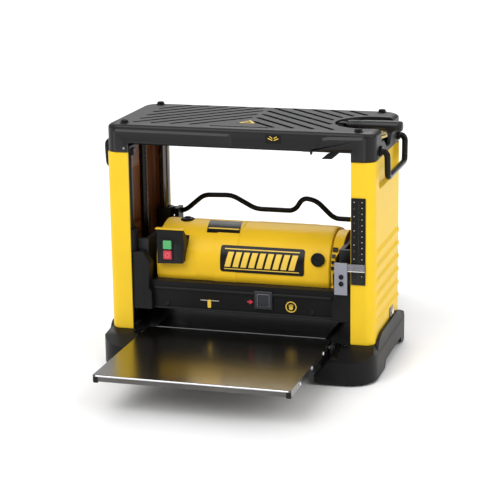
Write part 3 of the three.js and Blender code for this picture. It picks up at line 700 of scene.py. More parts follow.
def make_lead_screws():
    """The lead screws, and the thread between the collar and the sprocket of each."""
    turns, per_turn, radius, lead, collar = 64, 16, 7.0, 5.0, 8.0
    section = ((-0.8, -1.4), (0.9, -0.7), (0.9, 0.7), (-0.8, 1.4))
    screws = {"lead_screw_right": "crank", "lead_screw_left": "left_screw"}
    for node, body in screws.items():
        refine(node, body, "screw", 0.4)
    for node, body in screws.items():
        s = Span(node)
        rings = []
        for i in range(turns * per_turn + 1):
            turn = math.tau * i / per_turn
            z = s.z0 + collar + lead * i / per_turn
            ring = []
            for out, up in section:
                r = radius + out
                ring.append((s.cx + r * math.cos(turn), s.cy + r * math.sin(turn), z + up))
            rings.append(ring)
        dress(loft(f"{node}_thread", rings), body, "screw", 0, (), 30)


# ------------------------------------------------------------------ columns
OUTER_X = 246.0
CORNER = 16.0
WALL = 3.2
RIB_COUNT = 6
RIB_FIRST = 100.0
RIB_STEP = 25.0
RIB_RISE = 4.2
RIB_HALF = 8.0
SCOOP_DEPTH = 8.2
SCOOP_FLOOR = 337.0
SCOOP_Y = (-77.0, 97.0)


def side_relief(y, z):
    """How far the cover's side face stands in or out."""
    out = 0.0
    ends = smoothstep(100, 90, abs(y))
    for i in range(RIB_COUNT):
        away = abs(z - (RIB_FIRST + RIB_STEP * i))
        if away < RIB_HALF:
            out += RIB_RISE * (0.5 + 0.5 * math.cos(math.pi * away / RIB_HALF)) ** 0.7 * ends
    corner = 9 * (smoothstep(-66, SCOOP_Y[0], y) + smoothstep(86, SCOOP_Y[1], y))
    depth = min(z - SCOOP_FLOOR - corner, y - SCOOP_Y[0], SCOOP_Y[1] - y)
    return out - SCOOP_DEPTH * smoothstep(-1, 5, depth)


def is_inner_side(x, y, z):
    """Whether a point of the right cover's wall lies on the side that faces the post."""
    across = x - (OUTER_X - CORNER)
    along = abs(y) - (COLUMN.y1 - CORNER)
    if across > 0 and along > 0:
        return math.hypot(across, along) < CORNER - WALL / 2
    within = across < CORNER + side_relief(y, z) - WALL / 2 and along < CORNER - WALL / 2
    return within and x > COLUMN.x0 + 0.5


def column_path():
    """Points round the right cover's plan, with the outward direction at each."""
    depth, outer, inner = COLUMN.y1, OUTER_X, COLUMN.x0
    path = [(inner + (outer - CORNER - inner) * i / 9, -depth, (0, -1)) for i in range(9)]
    for i in range(9):
        turn = math.radians(-90 + 90 * i / 8)
        nx, ny = math.cos(turn), math.sin(turn)
        path.append((outer - CORNER + CORNER * nx, -depth + CORNER + CORNER * ny, (nx, ny)))
    steps = 48
    for i in range(1, steps):
        path.append((outer, -depth + CORNER + (2 * depth - 2 * CORNER) * i / steps, (1, 0)))
    rear = [(x, -y, (n[0], -n[1])) for x, y, n in reversed(path[:18])]
    return path + rear


def make_side_covers():
    path = column_path()
    low, high = COLUMN.z0, COLUMN.z1
    levels = 132
    outside, inside = [], []
    for k in range(levels + 1):
        z = low + (high - low) * k / levels
        outer_row, inner_row = [], []
        for x, y, (nx, ny) in path:
            move = side_relief(y, z) * max(0.0, nx) ** 3
            taper = 0.5 * smoothstep(high - 2.0, high, z) + 0.6 * smoothstep(low + 2, low, z)
            outer_row.append((x + nx * (move - taper), y + ny * (move - taper), z))
            back = move - WALL
            inner_row.append((x + nx * back, y + ny * back, z))
        outside.append(outer_row)
        inside.append(inner_row)
    rings = [outer + inner[::-1] for outer, inner in zip(outside, inside)]
    cover = loft("side_cover_right_skin", rings, closed_ends=False)
    work = bmesh.new()
    work.from_mesh(cover.data)
    open_edges = [e for e in work.edges if e.is_boundary]
    bmesh.ops.holes_fill(work, edges=open_edges)
    bmesh.ops.recalc_face_normals(work, faces=work.faces)
    work.to_mesh(cover.data)
    work.free()
    twin = mirrored(cover, "side_cover_left_skin")
    for obj, name in ((cover, "side_cover_right"), (twin, "side_cover_left")):
        dress(obj, "frame", "yellow", 0, (name,), 38)
        # The inner faces of the side covers take the darker amber: painted shade where their insides
        # fall in shade.
        obj.data.materials.append(LOOKS["painted_shade_amber"])
        for face in obj.data.polygons:
            x, y, z = (c / MM for c in face.center)
            if abs(face.normal.z) < 0.6 and is_inner_side(abs(x), y, z):
                face.material_index = 1


def make_column_insides():
    """The guide posts, with the collar at the head and the socket at the foot of each."""
    for corner, end, _ in CORNERS:
        post = Span(f"guide_post_{corner}")
        low, high, r = post.z0, post.z1, (post.x1 - post.x0) / 2
        middle = ("z", post.cx, post.cy)
        profile = [(r - 0.8, low), (r, low + 0.8), (r, high - 0.8), (r - 0.8, high)]
        bright = lathe(f"guide_post_{corner}_skin", profile, *middle)
        # Both post looks are darkened as painted shade; the front posts take the darker screw steel as
        # painted shade for the shaded front of the columns.
        look = "post" if end > 0 else "screw"
        dress(bright, "frame", look, 0, (f"guide_post_{corner}",), 30)
        bore = r + 0.1
        profile = [(bore, high - 12), (14.5, high - 12), (15.5, high - 11), (15.5, high), (bore, high)]
        collar = lathe(f"post_collar_{corner}", profile, *middle)
        dress(collar, "frame", "plastic", 0.4)
        profile = [(bore, low), (17, low), (17, low + 7), (14, low + 9), (bore, low + 9)]
        socket = lathe(f"post_socket_{corner}", profile, *middle)
        dress(socket, "frame", "cast", 0.4)


def make_scale():
    """The depth scale: a dark strip with a row of ruler lines, two rows of dots and numbers."""
    s = Span("depth_scale")
    front = s.y0
    strip = prism(
        "depth_scale_skin", round_rectangle(s.x0, s.x1, s.z0, s.z1, 1.2, 4), "y", front, s.y1
    )
    dress(strip, "frame", "decal", 0.25, ("depth_scale",))
    lines = []
    step = INCH / 8
    count = int((s.z1 - s.z0 - 8) / step)
    for i in range(count + 1):
        z = s.z0 + 4 + step * i
        long = 3.0 if i % 4 == 0 else 1.5
        tick = (s.x0 + 12.5, s.x0 + 12.5 + long)
        lines.append(box("tick", tick, (front - 0.12, front + 0.1), (z - 0.16, z + 0.16)))
    dress(joined("scale_lines", lines), "frame", "print")
    dots = []
    number_x = s.x0 + 5.4
    for x, gap, size in ((s.x0 + 19.5, 10.2, 0.85), (number_x, INCH, 0.9)):
        for i in range(int((s.z1 - s.z0 - 6) / gap)):
            z = s.z1 - 7 - gap * i
            dots.append(prism("dot", disc(x, z, size, 8), "y", front - 0.12, front + 0.1))
    dress(joined("scale_marks", dots), "frame", "mark")
    for i in range(6):
        digits = bpy.data.curves.new("digits", "FONT")
        digits.body = str(6 - i)
        digits.size = 4.4 * MM
        digits.extrude = 0.08 * MM
        digits.align_x = "CENTER"
        label = linked("digits", digits)
        place = Vector((number_x, front - 0.06, s.z1 - 20 - INCH * i)) * MM
        label.matrix_world = Matrix.Translation(place) @ Matrix.Rotation(math.radians(90), 4, "X")
        applied_text(label, f"scale_number_{6 - i}")


def applied_text(label, name):
    """Turns a text object into a plain mesh piece."""
    bpy.context.view_layer.update()
    seen = label.evaluated_get(bpy.context.evaluated_depsgraph_get())
    mesh = bpy.data.meshes.new_from_object(seen)
    mesh.transform(label.matrix_world)
    bpy.data.objects.remove(label)
    dress(linked(name, mesh), "frame", "print")


def make_carry_handles():
    handle = Span("carry_handle_right")
    radius, bend = 5.5, 12
    wall, reach = COVER.x1 - 0.5, handle.x1 - radius
    front, rear, low, high = -71, 90, handle.z0 + radius, 404
    route = [
        (wall, front, high), (reach, front, high), (reach, front + 5, low), (reach, rear - 2, low),
        (reach, rear, high), (wall, rear, high),
    ]
    bar = rod("bar", route, radius, bend)
    profile = [(5.3, wall), (9.4, wall), (9.4, wall + 3.6), (8.2, wall + 4.8), (5.3, wall + 5.2)]
    collars = [lathe("collar", profile, "x", y, high, 32) for y in (front, rear)]
    right = joined("carry_handle_right_skin", [bar, *collars])
    left = mirrored(right, "carry_handle_left_skin")
    dress(right, "frame", "gloss", 0, ("carry_handle_right",), 40)
    dress(left, "frame", "gloss", 0, ("carry_handle_left",), 40)


# ------------------------------------------------------------------ base and tables
SHELF = 62.0  # top of the base beside the tables
SHELF_END = 119.4  # where it starts to slope down
SHELF_FALL = 19.0 / 48.6
RIVET_Y = (184, 266, 348)  # how far from the middle the rivets in a table's sides stand


def make_base():
    refine("base_casting", "frame", "cast", 2.2, 30, 3)
    refine("bed_plate", "frame", "bed", 0.8)
    for corner, end, side in CORNERS:
        refine(f"rubber_foot_{corner}", "frame", "rubber", 0.6)
        x = sorted((side * 171.9, side * 189))
        y = sorted((end * 117.5, end * 160))
        strap = box(f"hinge_strap_{corner}", x, y, (SHELF - 0.2, SHELF + 1.8))
        slope_strap(strap)
        dress(strap, "frame", "gloss", 0.5)
        profile = [(0.3, 0), (4.2, 0), (4.2, 1.4), (3.2, 2.4), (0.3, 2.6)]
        screw = screw_head(f"strap_screw_{corner}", profile, "z", side * 196, end * 124, SHELF - 0.3)
        dress(screw, "frame", "gloss", 0)
    profile = [(0.3, 0), (6.5, 0), (6.5, 1.6), (5, 2.8), (0.3, 3)]
    screw = screw_head("cover_screw_head", profile, "x", 32, 86, OUTER_X + 2.9, 32)
    dress(screw, "frame", "lip", 0)
    tab = box("cover_tab", (OUTER_X + 0.4, OUTER_X + 3.1), (22, 42), (76, 95))
    dress(tab, "frame", "steel", 0.8)


def slope_strap(strap):
    """Lays a strap's outer half down the base's sloping end."""
    for point in strap.data.vertices:
        beyond = abs(point.co.y) / MM - SHELF_END
        if beyond > 0:
            point.co.z -= beyond * SHELF_FALL * MM


def make_tables():
    for name, end, body in (("infeed_table", -1, "infeed"), ("outfeed_table", 1, "outfeed")):
        t = Span(name)
        outer = t.y0 if end < 0 else t.y1
        table = cad_copy(name)
        dress(table, body, "stainless", 0.9, (name,), 30, 3)
        # The outer end face takes the dark post steel: painted shade on the table's edge below its lit
        # lip.
        table.data.materials.append(LOOKS["post"])
        for face in table.data.polygons:
            if abs(face.normal.y) > 0.8 and abs(abs(face.center.y) / MM - abs(outer)) < 1:
                face.material_index = 1
        # A bright rod along the outer top edge: painted highlight on the table's edge.
        lip = rod(
            f"{name}_lip",
            [(t.x0 + 5, outer - end * 1.6, t.z1 - 2.2), (t.x1 - 5, outer - end * 1.6, t.z1 - 2.2)],
            2.0, 1.0, 16,
        )
        dress(lip, body, "lip", 0)
        for side_name, side in SIDES.items():
            x = side * (t.x1 - 1)
            plug = prism(
                f"{name}_corner_{side_name}",
                round_rectangle(*sorted((x - side * 8, x + side * 0.6)), t.z0 + 6, t.z1 - 3.6, 1.6, 3),
                "y", *sorted((outer - end * 9, outer + end * 0.5)),
            )
            dress(plug, body, "plastic", 0.7)
            head = [(0.3, -0.5), (3.8, -0.5), (3.8, 0.5), (2.9, 1.4), (0.3, 1.6)]
            head = [(radius, side * (t.x1 + out)) for radius, out in head]
            rivets = [lathe("rivet", head, "x", end * y, t.z1 - 6.2, 20) for y in RIVET_Y]
            dress(joined(f"{name}_rivets_{side_name}", rivets), body, "lip", 0)
    refine("hinge_rod_front", "frame", "steel", 0.5)
    refine("hinge_rod_rear", "frame", "steel", 0.5)


# ------------------------------------------------------------------ carriage
CARRIAGE = Span("carriage_casting")
PANEL_FRONT = -97.0


def make_carriage():
    refine("carriage_casting", "carriage", "cast", 1.0)
    low = CARRIAGE.z0 + 0.2
    # The corner block that covers each guide bush, with a chamfered shoulder.
    outline = [(203.6, low), (203.6, 206), (183, 208), (170, 186), (173, 140), (168, 132), (168, low)]
    for corner, end, side in CORNERS:
        shape = [(side * x, z) for x, z in outline]
        block = prism(f"bush_block_{corner}", shape, "y", *sorted((end * 88, end * 110)))
        post = Span(f"guide_post_{corner}")
        drill(block, "z", post.cx, post.cy, 17.4, 80, 300, 40)
        dress(block, "carriage", "cast", 2.0, (), 30, 3)
    # A lip along the top of the front panel and of the rear panel, and a foot along each bottom.
    for end_name, end in ENDS.items():
        y = sorted((end * 94, end * 100))
        lip = box(f"panel_lip_{end_name}", (-166, 166), y, (137, 141.5))
        dress(lip, "carriage", "cast", 1.2)
        foot = box(f"panel_foot_{end_name}", (-166, 166), y, (100.4, 104))
        dress(foot, "carriage", "cast", 1.0)
    for k, x in enumerate((-143, 129.6)):
        profile = [(0.3, 0), (5.2, 0), (5.2, -1.6), (4.2, -2.6), (0.3, -2.8)]
        boss = screw_head(f"panel_screw_{k}", profile, "y", x, 110, PANEL_FRONT, 28)
        dress(boss, "carriage", "plastic", 0)


def make_panel_details():
    """What is fixed to the carriage's front panel: gauges, arrow, emblem and slot."""
    front = PANEL_FRONT
    # A dark patch laid on the panel face: painted shade for the recess of the gauge slot.
    slot = box("gauge_slot_shade", (-82, -40), (front - 0.2, front + 0.2), (122, 135.5))
    dress(slot, "carriage", "decal", 0.1)
    line = box("gauge_line", (-79, -44), (front - 0.22, front + 0.1), (119.8, 120.9))
    dress(line, "carriage", "mark", 0.1)
    tab = Span("gauge_tab")
    pin = prism(
        "gauge_tab_skin", round_rectangle(tab.x0, tab.x1, tab.z0, tab.z1, 2.2, 5), "y", tab.y0, tab.y1,
    )
    dress(pin, "removal_gauge", "gold", 0.4, ("gauge_tab",))
    refine("gauge_window", "carriage", "window", 0.6)
    w = Span("gauge_window")
    rim = 6.4
    glass = box(
        "gauge_glass", (w.x0 + rim, w.x1 - rim), (w.y0 + 1, w.y1 - 0.4), (w.z0 + rim, w.z1 - rim)
    )
    dress(glass, "carriage", "window", 0.5)
    thin = (w.y0 - 0.25, w.y0 + 0.3)
    rails = [
        box("rail", (x, x + 0.6), thin, (w.z0 + 5.4, w.z1 - 5.4)) for x in (w.x0 + 5.2, w.x1 - 5.8)
    ]
    rails.append(box("rail", (w.x0 + 5.2, w.x1 - 5.2), thin, (w.z1 - 6.0, w.z1 - 5.2)))
    dress(joined("gauge_window_line", rails), "carriage", "smoke")
    arrow = Span("gauge_pointer")
    x, z = arrow.x0, arrow.cz
    outline = [
        (x + 1, z + 4.6), (x + 1, z + 1.4), (x - 3, z + 1.4), (x - 3, z - 1.4), (x + 1, z - 1.4),
        (x + 1, z - 4.6), (arrow.x1, z),
    ]
    head = prism("gauge_pointer_skin", outline, "y", arrow.y0, arrow.y1)
    dress(head, "carriage", "red", 0.2, ("gauge_pointer",))
    x, z = 91, 118.5
    ring = prism("emblem_ring", disc(x, z, 10.2, 48), "y", front - 0.6, front + 0.2)
    drill(ring, "y", x, z, 8.4, front - 2, front + 2, 48)
    dress(ring, "carriage", "gold", 0.15)
    plate = prism("emblem_plate", disc(x, z, 8.6, 48), "y", front - 0.35, front + 0.2)
    dress(plate, "carriage", "decal", 0)
    thick = (front - 0.8, front - 0.2)
    bars = [prism("core", disc(x, z - 2.0, 3.6, 20), "y", *thick)]
    for i in range(4):
        lean = (i - 1.5) * 1.9
        foot, tip, end = x + lean, x + lean * 1.25, z + 5.4 - abs(lean) * 0.5
        ray = [(foot - 0.75, z), (foot + 0.75, z), (tip + 0.6, end), (tip - 0.6, end)]
        bars.append(prism("ray", ray, "y", *thick))
    dress(joined("emblem_mark", bars), "carriage", "gold")


def make_pointer():
    """The bracket that reaches over the depth scale, and its clear cursor."""
    refine("pointer_bracket", "carriage", "smoke", 1.0, 30, 3)
    b = Span("pointer_bracket")
    for k, z in enumerate((187, 174.6)):
        x, depth = 188.6, (b.y0 - 5, b.y0 - 2)
        profile = [(0.3, 0), (4.3, 0), (4.3, -1.8), (3.4, -2.8), (0.3, -3)]
        head = screw_head(f"bracket_screw_{k}", profile, "y", x, z, b.y0, 28)
        cross = [
            box("cross", (x - 0.6, x + 0.6), depth, (z - 2.4, z + 2.4)),
            box("cross", (x - 2.4, x + 2.4), depth, (z - 0.6, z + 0.6)),
        ]
        dress(carve(head, *cross), "carriage", "gloss", 0.15)
    c = Span("cursor_lens")
    lens = refine("cursor_lens", "carriage", "lens", 0.6, 30, 3)
    lens.name = "cursor_lens_skin"
    z = c.z0 + 0.64 * (c.z1 - c.z0)
    hair = box("cursor_line", (c.x0 + 0.5, c.x1 - 0.5), (c.y0 - 0.5, c.y0 + 0.3), (z - 0.8, z + 0.8))
    dress(hair, "carriage", "mark", 0.1)
    band = box("cursor_band", (c.x0 + 0.5, c.x1 - 0.5), (c.y0 - 0.3, c.y0 + 0.3), (z + 1.4, c.z1 - 1))
    dress(band, "carriage", "haze", 0.1)


# ------------------------------------------------------------------ motor housing
HOUSING = Span("motor_housing")
SEAM_X = -14.0  # the seam between the switch side and the belt side
SWELL_X = -59.0  # where the swelling over the motor starts, left of the seam
STEP_X = -92.0  # where the front steps back beside the switch


def bezier(p0, p1, p2, p3, steps):
    """Points along a cubic curve."""
    curve = []
    for i in range(steps + 1):
        t = i / steps
        u = 1 - t
        parts = list(zip((u**3, 3 * u * u * t, 3 * u * t * t, t**3), (p0, p1, p2, p3)))
        curve.append((sum(w * p[0] for w, p in parts), sum(w * p[1] for w, p in parts)))
    return curve


def housing_profile():
    """The housing's section from its lower front edge over the top to its lower rear edge."""
    y0, y1, z0, z1 = HOUSING.y0, HOUSING.y1, HOUSING.z0, HOUSING.z1
    points = [(y0 + 5, z0), (y0 + 2.6, z0 + 4), (y0 + 0.6, z0 + 9), (y0, z0 + 13)]
    for i in range(1, 5):
        points.append((y0, z0 + 13 + (186 - z0 - 13) * i / 5))
    points += bezier((y0, 186), (y0, 222), (-48, z1), (-6, z1), 26)
    points += bezier((-6, z1), (20, z1 - 4), (y1, z1 - 14), (y1, 192), 18)[1:]
    for i in range(1, 5):
        points.append((y1, 192 + (z0 - 192) * i / 4))
    return points


PROFILE = housing_profile()


def profile_at(reach, lift):
    """The point a distance along the housing's section, lifted off its surface."""
    for (y0, z0), (y1, z1) in zip(PROFILE, PROFILE[1:]):
        step = math.hypot(y1 - y0, z1 - z0)
        if reach <= step:
            t = reach / step
            normal = Vector((-(z1 - z0), y1 - y0)) / step
            return (y0 + (y1 - y0) * t + normal.x * lift, z0 + (z1 - z0) * t + normal.y * lift)
        reach -= step
    return PROFILE[-1]


def reach_of(height):
    """Distance along the section to where its front first gets to a height."""
    reach = 0.0
    for (y0, z0), (y1, z1) in zip(PROFILE, PROFILE[1:]):
        step = math.hypot(y1 - y0, z1 - z0)
        if z1 >= height:
            return reach + step * (height - z0) / (z1 - z0)
        reach += step
    return reach


def wrapped(name, left, right, low, high, lift, corner=0.0, steps=16):
    """A thin plate that hugs the housing; left and right give its edges from bottom to top."""
    start, stop = reach_of(low), reach_of(high)
    span = stop - start
    stations = [i / steps for i in range(steps + 1)]
    if corner:
        ends = [corner / span * (1 - math.cos(math.radians(15 * i))) for i in range(6)]
        stations = ends + [f for f in stations if corner / span < f < 1 - corner / span]
        stations += [1 - f for f in reversed(ends)]
    rings = []
    for f in stations:
        near_end = min(f, 1 - f) * span
        inset = 0.0
        if near_end < corner:
            inset = corner - math.sqrt(max(0.0, corner**2 - (corner - near_end) ** 2))
        x0, x1 = left(f) + inset, right(f) - inset
        outer = profile_at(start + span * f, lift)
        inner = profile_at(start + span * f, -2.0)
        rings.append([(x0, *outer), (x1, *outer), (x1, *inner), (x0, *inner)])
    return loft(name, rings)


def housing_relief(x, z):
    """Seams and the swelling over the motor, as movement along the surface's normal."""
    out = -1.1 * max(0.0, 1 - abs(x - SEAM_X) / 1.6)
    if z < 236:
        out += 0.9 * smoothstep(SWELL_X - 3, SWELL_X + 3, x) * smoothstep(SEAM_X + 4, SEAM_X - 3, x)
        step = smoothstep(STEP_X + 4, STEP_X - 4, x)
        out -= 1.2 * step * smoothstep(208, 203, z) * smoothstep(160, 166, z)
    ridge = smoothstep(238, 240, z) * smoothstep(246, 243, z)
    return out + 0.8 * ridge * smoothstep(-4, 4, x) * smoothstep(122, 112, x)


def make_motor_housing():
    x0, x1 = HOUSING.x0, HOUSING.x1
    stations = [x0 + 0.01]
    x = x0
    while x < x1 - 1.2:
        near_seam = min(abs(x - seam) for seam in (SEAM_X, SWELL_X, STEP_X))
        x += 0.8 if near_seam < 4 else 1.2 if x < x0 + 24 or x > x1 - 14 else 3.0
        stations.append(min(x, x1))
    stations[-1] = x1
    rings = []
    for x in stations:
        edge = min(x - x0, x1 - x)
        soft = 1.8 * (1 - math.sqrt(max(0.0, 1 - (1 - min(edge, 1.8) / 1.8) ** 2)))
        # The right end's shoulder rounds down over the last stretch.
        near_end = max(0.0, 1 - (x1 - x) / 12)
        shoulder = 6.0 * (1 - math.sqrt(1 - near_end**2))
        ring = []
        for i, (y, z) in enumerate(PROFILE):
            before = PROFILE[max(i - 1, 0)]
            after = PROFILE[min(i + 1, len(PROFILE) - 1)]
            along = Vector((after[0] - before[0], after[1] - before[1])).normalized()
            move = housing_relief(x, z) - soft
            drop = shoulder * smoothstep(225, 249, z)
            ring.append((x, y - along.y * move, min(HOUSING.z1, z + along.x * move) - drop))
        rings.append(ring)
    shell = loft("motor_housing_skin", rings)
    hollow = [
        (-76, HOUSING.z0 - 5), (-76, 195), (-66, 215), (-44, 230), (-6, 237), (34, 230), (60, 205),
        (66, HOUSING.z0 - 5),
    ]
    stator = Span("motor_stator")
    bell = disc(stator.cy, Span("motor_armature").cz, stator.y1 - stator.cy + 1.5, 40)
    carve(shell, prism("hollow", hollow, "x", x0 + 5, x1 - 5))
    carve(shell, prism("bell", bell, "x", stator.x0 - 2, stator.x1 + 2))
    drill(shell, "x", 0, Span("motor_armature").cz, 9, x1 - 8, x1 + 8)
    knob = Span("reset_button")
    drill(shell, "z", knob.cx, knob.cy, 6.6, 232, 260)
    dress(shell, "carriage", "housing", 0, ("motor_housing",), 30)


def make_name_plate():
    """The plate on the housing's front: slanted bars between two rules, with no lettering."""
    x0, x1, z0, z1 = -45.0, 111.5, 172.8, 219.0
    plate = wrapped("name_plate", lambda f: x0, lambda f: x1, z0, z1, 1.4, 5.0)
    dress(plate, "carriage", "decal", 0)
    rules = []
    for z in (z0 + 5.2, z1 - 6.4):
        rules.append(wrapped("rule", lambda f: x0 + 8, lambda f: x1 - 9, z, z + 1.5, 1.9, 0, 2))
    dress(joined("name_plate_rules", rules), "carriage", "gold")
    bars = []
    count, lean, thick = 9, 7.0, 10.5
    pitch = (x1 - x0 - 22) / count
    for i in range(count):
        left = x0 + 8.5 + pitch * i

        def start(f, left=left):
            return left + lean * f

        def stop(f, left=left):
            return left + thick + lean * f

        bars.append(wrapped("bar", start, stop, z0 + 9.6, z1 - 10.4, 2.0, 0, 6))
    dress(joined("name_plate_bars", bars), "carriage", "gold")


def make_housing_prints():
    """The label and the caps on the motor housing."""
    label = {"rating_label": (0.0, 1.0, 0.0, "decal"), "rating_label_rule": (0.24, 0.32, 2.0, "gold")}
    low, high = 236.0, 248.8
    for name, (first, last, inset, look) in label.items():
        start, stop = reach_of(low), reach_of(high)
        rings = []
        for i in range(13):
            f = first + (last - first) * i / 12
            reach = start + (stop - start) * f
            shift = -6.0 * f
            lift = 0.5 if look == "decal" else 0.75
            outer, inner = profile_at(reach, lift), profile_at(reach, -1.5)
            left, right = -78.7 + inset + shift, -16.1 - inset + shift
            rings.append([(left, *outer), (right, *outer), (right, *inner), (left, *inner)])
        dress(loft(name, rings), "carriage", look)
    cap = Span("brush_cap")
    face, back = cap.y0, cap.y1 + 1
    profile = [(0.3, back), (12.5, back), (12.5, face + 0.8), (11.7, face), (9.8, face)]
    profile += [(9.2, face + 1.1), (0.3, face + 1.1)]
    turned = lathe("brush_cap_skin", profile, "y", cap.cx, cap.cz, 48)
    slot = [(cap.cx + x, cap.cz + z) for x, z in ((-8, 2.0), (7, -4.4), (8, -2.0), (-7, 4.4))]
    carve(turned, prism("groove", slot, "y", face - 1, face + 2.4))
    dress(turned, "carriage", "plastic", 0.25, ("brush_cap",))
    knob = Span("reset_button")
    low, high = knob.z0, knob.z1
    profile = [(5.2, low), (5.9, low + 1), (5.9, high - 1.6), (4.6, high), (0.3, high + 0.1)]
    top = lathe("reset_button_skin", profile, "z", knob.cx, knob.cy, 32)
    dress(top, "reset", "plastic", 0, ("reset_button",), 30)
    rim = HOUSING.z1 + 2.6
    profile = [(6.3, rim - 8), (13, rim - 8), (13, rim - 2.4), (10.4, rim), (6.3, rim)]
    boot = lathe("reset_collar", profile, "z", knob.cx, knob.cy, 40)
    drill(boot, "z", knob.cx, knob.cy, 6.3, rim - 12, rim + 9)
    dress(boot, "carriage", "plastic", 0.3)


def make_switch():
    s = Span("switch_box")
    outline = [(s.x0, s.z0), (s.x1 - 1, s.z0 + 2), (s.x1 + 3, 218), (s.x1, s.z1), (s.x0, s.z1)]
    body = prism("switch_box_skin", outline, "y", s.y0, s.y1)
    section = [(y, z) for y, z in PROFILE if z < 248.9]
    inside = [(y, z) for y, z in section if y < 0]
    inside += [(0, HOUSING.z1), (0, HOUSING.z0 - 4), (inside[0][0], HOUSING.z0 - 4)]
    carve(body, prism("housing", inside, "x", s.x0 - 5, s.x1 + 5))
    # Behind its front edge the box's top falls to meet the housing.
    fall = [(-88, s.z1 + 5), (-88, s.z1 - 1), (-70, 222), (-50, 240), (-50, s.z1 + 5)]
    carve(body, prism("fall", fall, "x", s.x0 - 5, s.x1 + 5))
    start, stop = Span("start_button"), Span("stop_button")
    for b in (start, stop):
        across = (b.x0 - 0.6, b.x1 + 0.6)
        carve(body, box("well", across, (s.y0 - 5, b.y1 + 2.8), (b.z0 - 0.6, b.z1 + 0.6)))
    dress(body, "carriage", "plastic", 1.2, ("switch_box",), 30, 3)
    frame_x = (start.x0 - 3.2, start.x1 + 3.2)
    bezel = prism(
        "switch_bezel", round_rectangle(*frame_x, stop.z0 - 3.2, start.z1 + 3.2, 2.5, 5), "y",
        s.y0 - 1.4, s.y0 + 1,
    )
    for b in (start, stop):
        across = (b.x0 - 0.6, b.x1 + 0.6)
        carve(bezel, box("well", across, (s.y0 - 6, s.y0 + 4), (b.z0 - 0.6, b.z1 + 0.6)))
    dress(bezel, "carriage", "plastic", 0.4)
    for node, body_name, look, slot in (
        ("start_button", "start", "green", "green_button"),
        ("stop_button", "stop", "red", "red_button"),
    ):
        b = Span(node)
        cap = prism(f"{node}_skin", round_rectangle(b.x0, b.x1, b.z0, b.z1, 1.6, 4), "y", b.y0, b.y1)
        dress(cap, body_name, look, 0.8, (node,), 30, 3)
    ring = prism("stop_mark", disc(stop.cx, stop.cz, 4.4, 36), "y", stop.y0 - 0.2, stop.y0 + 0.2)
    drill(ring, "y", stop.cx, stop.cz, 3.2, stop.y0 - 2, stop.y0 + 2, 36)
    dress(ring, "stop", "blush")
    # The thin yellow ledge over the switch stands forward of the housing.
    ledge = [(s.y0 + 0.5, s.z1 + 0.3), (s.y0 + 0.5, s.z1 + 2.6), (-86, s.z1 + 2.6), (-86, s.z1 + 0.3)]
    shelf = prism("switch_hood", ledge, "x", HOUSING.x0 + 3.5, s.x1 + 2)
    dress(shelf, "carriage", "housing", 0.7)


def make_belt_cover():
    """The yellow collar on the belt side, which overhangs the dark guard, with its slots."""
    c, guard = Span("belt_cover"), Span("belt_guard")
    low, step_low, step_high, above_all = c.z0, 206.0, 228.0, 260
    section = [profile_at(reach_of(low + 1) + i * 4.0, -6.0) for i in range(200)]
    front = [(c.y0, low)] + [(y, z) for y, z in section if z > low]
    rear = max(y for y, z in front)
    cover = prism("belt_cover_skin", front + [(rear, low)], "x", c.x0, guard.x1)
    shape = [
        (c.x0 - 1, low - 1), (c.x1, low - 1), (c.x1, step_low), (guard.x1 - 0.2, step_high),
        (guard.x1 - 0.2, above_all), (c.x0 - 1, above_all),
    ]
    combine(cover, prism("shape", shape, "y", -120, 120), "INTERSECT")
    drill(cover, "x", 0, Span("motor_armature").cz, 9, 150, 180)
    dress(cover, "carriage", "housing", 0.8, ("belt_cover",), 30, 3)
    # The slots are not cut: dark strips laid on the collar are painted shade for the insides of the
    # slots.
    slots = []
    for z in range(187, 221, 11):
        left, right = c.x0 + 2.2, c.x1 - 1.2 + max(0, z - step_low) * 0.3
        slots.append(
            wrapped("slot", lambda f, x=left: x, lambda f, x=right: x, z, z + 6, -5.7, 0, 4)
        )
    dress(joined("belt_cover_slot_shade", slots), "carriage", "decal")
    shell = cad_copy("belt_guard")
    above = [
        (160, step_low + 1), (c.x1 + 0.5, step_low + 1), (guard.x1 + 2, step_high + 0.5),
        (guard.x1 + 5, above_all), (160, above_all),
    ]
    carve(shell, prism("above", above, "y", -120, 120))
    dress(shell, "carriage", "plastic", 0.8, ("belt_guard",), 30, 3)


def make_lock_bar():
    """The bent bar that crosses the carriage behind the motor housing."""
    bar = Span("lock_bar")
    radius, bend = 4.8, 12
    low, top = 236.0, bar.z1 - radius
    middle = low + 11
    route = [
        (bar.x0, low), (-172, low), (-133, top - 4), (-77, top - 2), (-30, middle), (46, middle),
        (63, top), (89, top - 5), (123, low), (bar.x1, low),
    ]
    handle = rod("lock_bar_skin", [(x, bar.cy, z) for x, z in route], radius, bend)
    dress(handle, "head_lock", "gloss", 0, ("lock_bar",), 40)


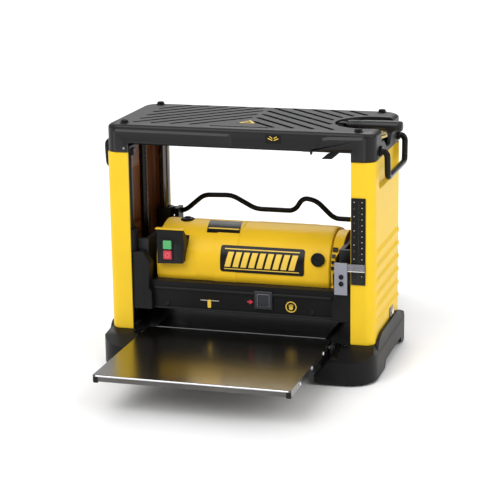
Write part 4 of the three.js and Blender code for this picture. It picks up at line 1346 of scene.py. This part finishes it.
def make_working_parts():
    """The pieces that turn inside the carriage, and what else stays close to its CAD shape."""
    for node, body, slot, look, bevel in (
        ("motor_stator", "carriage", "steel", "steel", 0.6),
        ("motor_armature", "armature", "steel", "steel", 0.6),
        ("drive_belt", "carriage", "rubber", "tyre", 0.3),
        ("cutterhead", "cutter", "steel", "steel", 0.6),
        ("knife_front", "cutter", "chrome", "chrome", 0.15),
        ("knife_rear", "cutter", "chrome", "chrome", 0.15),
        ("infeed_roller", "infeed_feed_roller", "rubber", "roller", 0.8),
        ("outfeed_roller", "outfeed_feed_roller", "rubber", "roller", 0.8),
        ("cord_inlet", "carriage", "black_plastic", "plastic", 0.5),
        ("chip_chute", "carriage", "black_plastic", "plastic", 1.4),
        ("upper_frame", "frame", "black_steel", "cast", 0.8),
        ("lift_chain", "frame", "steel", "screw", 0.3),
    ):
        refine(node, body, look, bevel)


def make_under_cover_parts():
    """What hangs under the top cover and shows on its border: hook, clip, tab and screw."""
    base = 408.0
    hook = [
        (110, base + 2), (110, base - 3), (116, base - 5), (118.5, base - 18), (121, base - 18),
        (124, base - 5), (130, base - 3), (130, base + 2),
    ]
    dress(prism("cover_hook", hook, "y", -62, -56), "frame", "plastic", 0.8)
    clip = [
        (139, base - 24), (150, base - 14.5), (156, base - 13), (163, base - 8), (163, base + 2),
        (176, base + 2), (176, base - 8), (165, base - 18), (158, base - 23.5),
    ]
    dress(prism("cover_clip", clip, "y", -66, -54), "frame", "plastic", 1.0)
    face = -COVER.y1
    tab = box("cover_tab_front", (118, 131), (face + 0.5, face + 4), (base - 2, base + 2.5))
    dress(tab, "frame", "cover", 0.6)
    profile = [(0.3, 0), (2.4, 0), (2.4, -1.0), (1.8, -1.6), (0.3, -1.7)]
    screw = screw_head("cover_corner_screw", profile, "y", -210.4, base - 9, face - 1.1)
    dress(screw, "frame", "steel", 0)


def make_floor():
    size = 40.0
    mesh = bpy.data.meshes.new("floor")
    mesh.from_pydata(
        [(-size, -size, 0), (size, -size, 0), (size, size, 0), (-size, size, 0)], [], [(0, 1, 2, 3)]
    )
    mesh.materials.append(
        material("studio_floor", (0.93, 0.93, 0.93, 1), 0.85, specular=0.1, mottle=0.01, bump=0.0)
    )
    linked("floor", mesh)


make_camera()
make_lights()
LOOKS = make_materials()
make_floor()
make_top_cover()
make_cover_trim()
make_cover_badge()
make_top_bolts()
make_crank()
make_lead_screws()
make_side_covers()
make_column_insides()
make_scale()
make_carry_handles()
make_base()
make_tables()
make_carriage()
make_panel_details()
make_pointer()
make_motor_housing()
make_name_plate()
make_housing_prints()
make_switch()
make_belt_cover()
make_lock_bar()
make_working_parts()
make_under_cover_parts()

bpy.context.scene.view_settings.view_transform = "Standard"
bpy.context.view_layer.update()
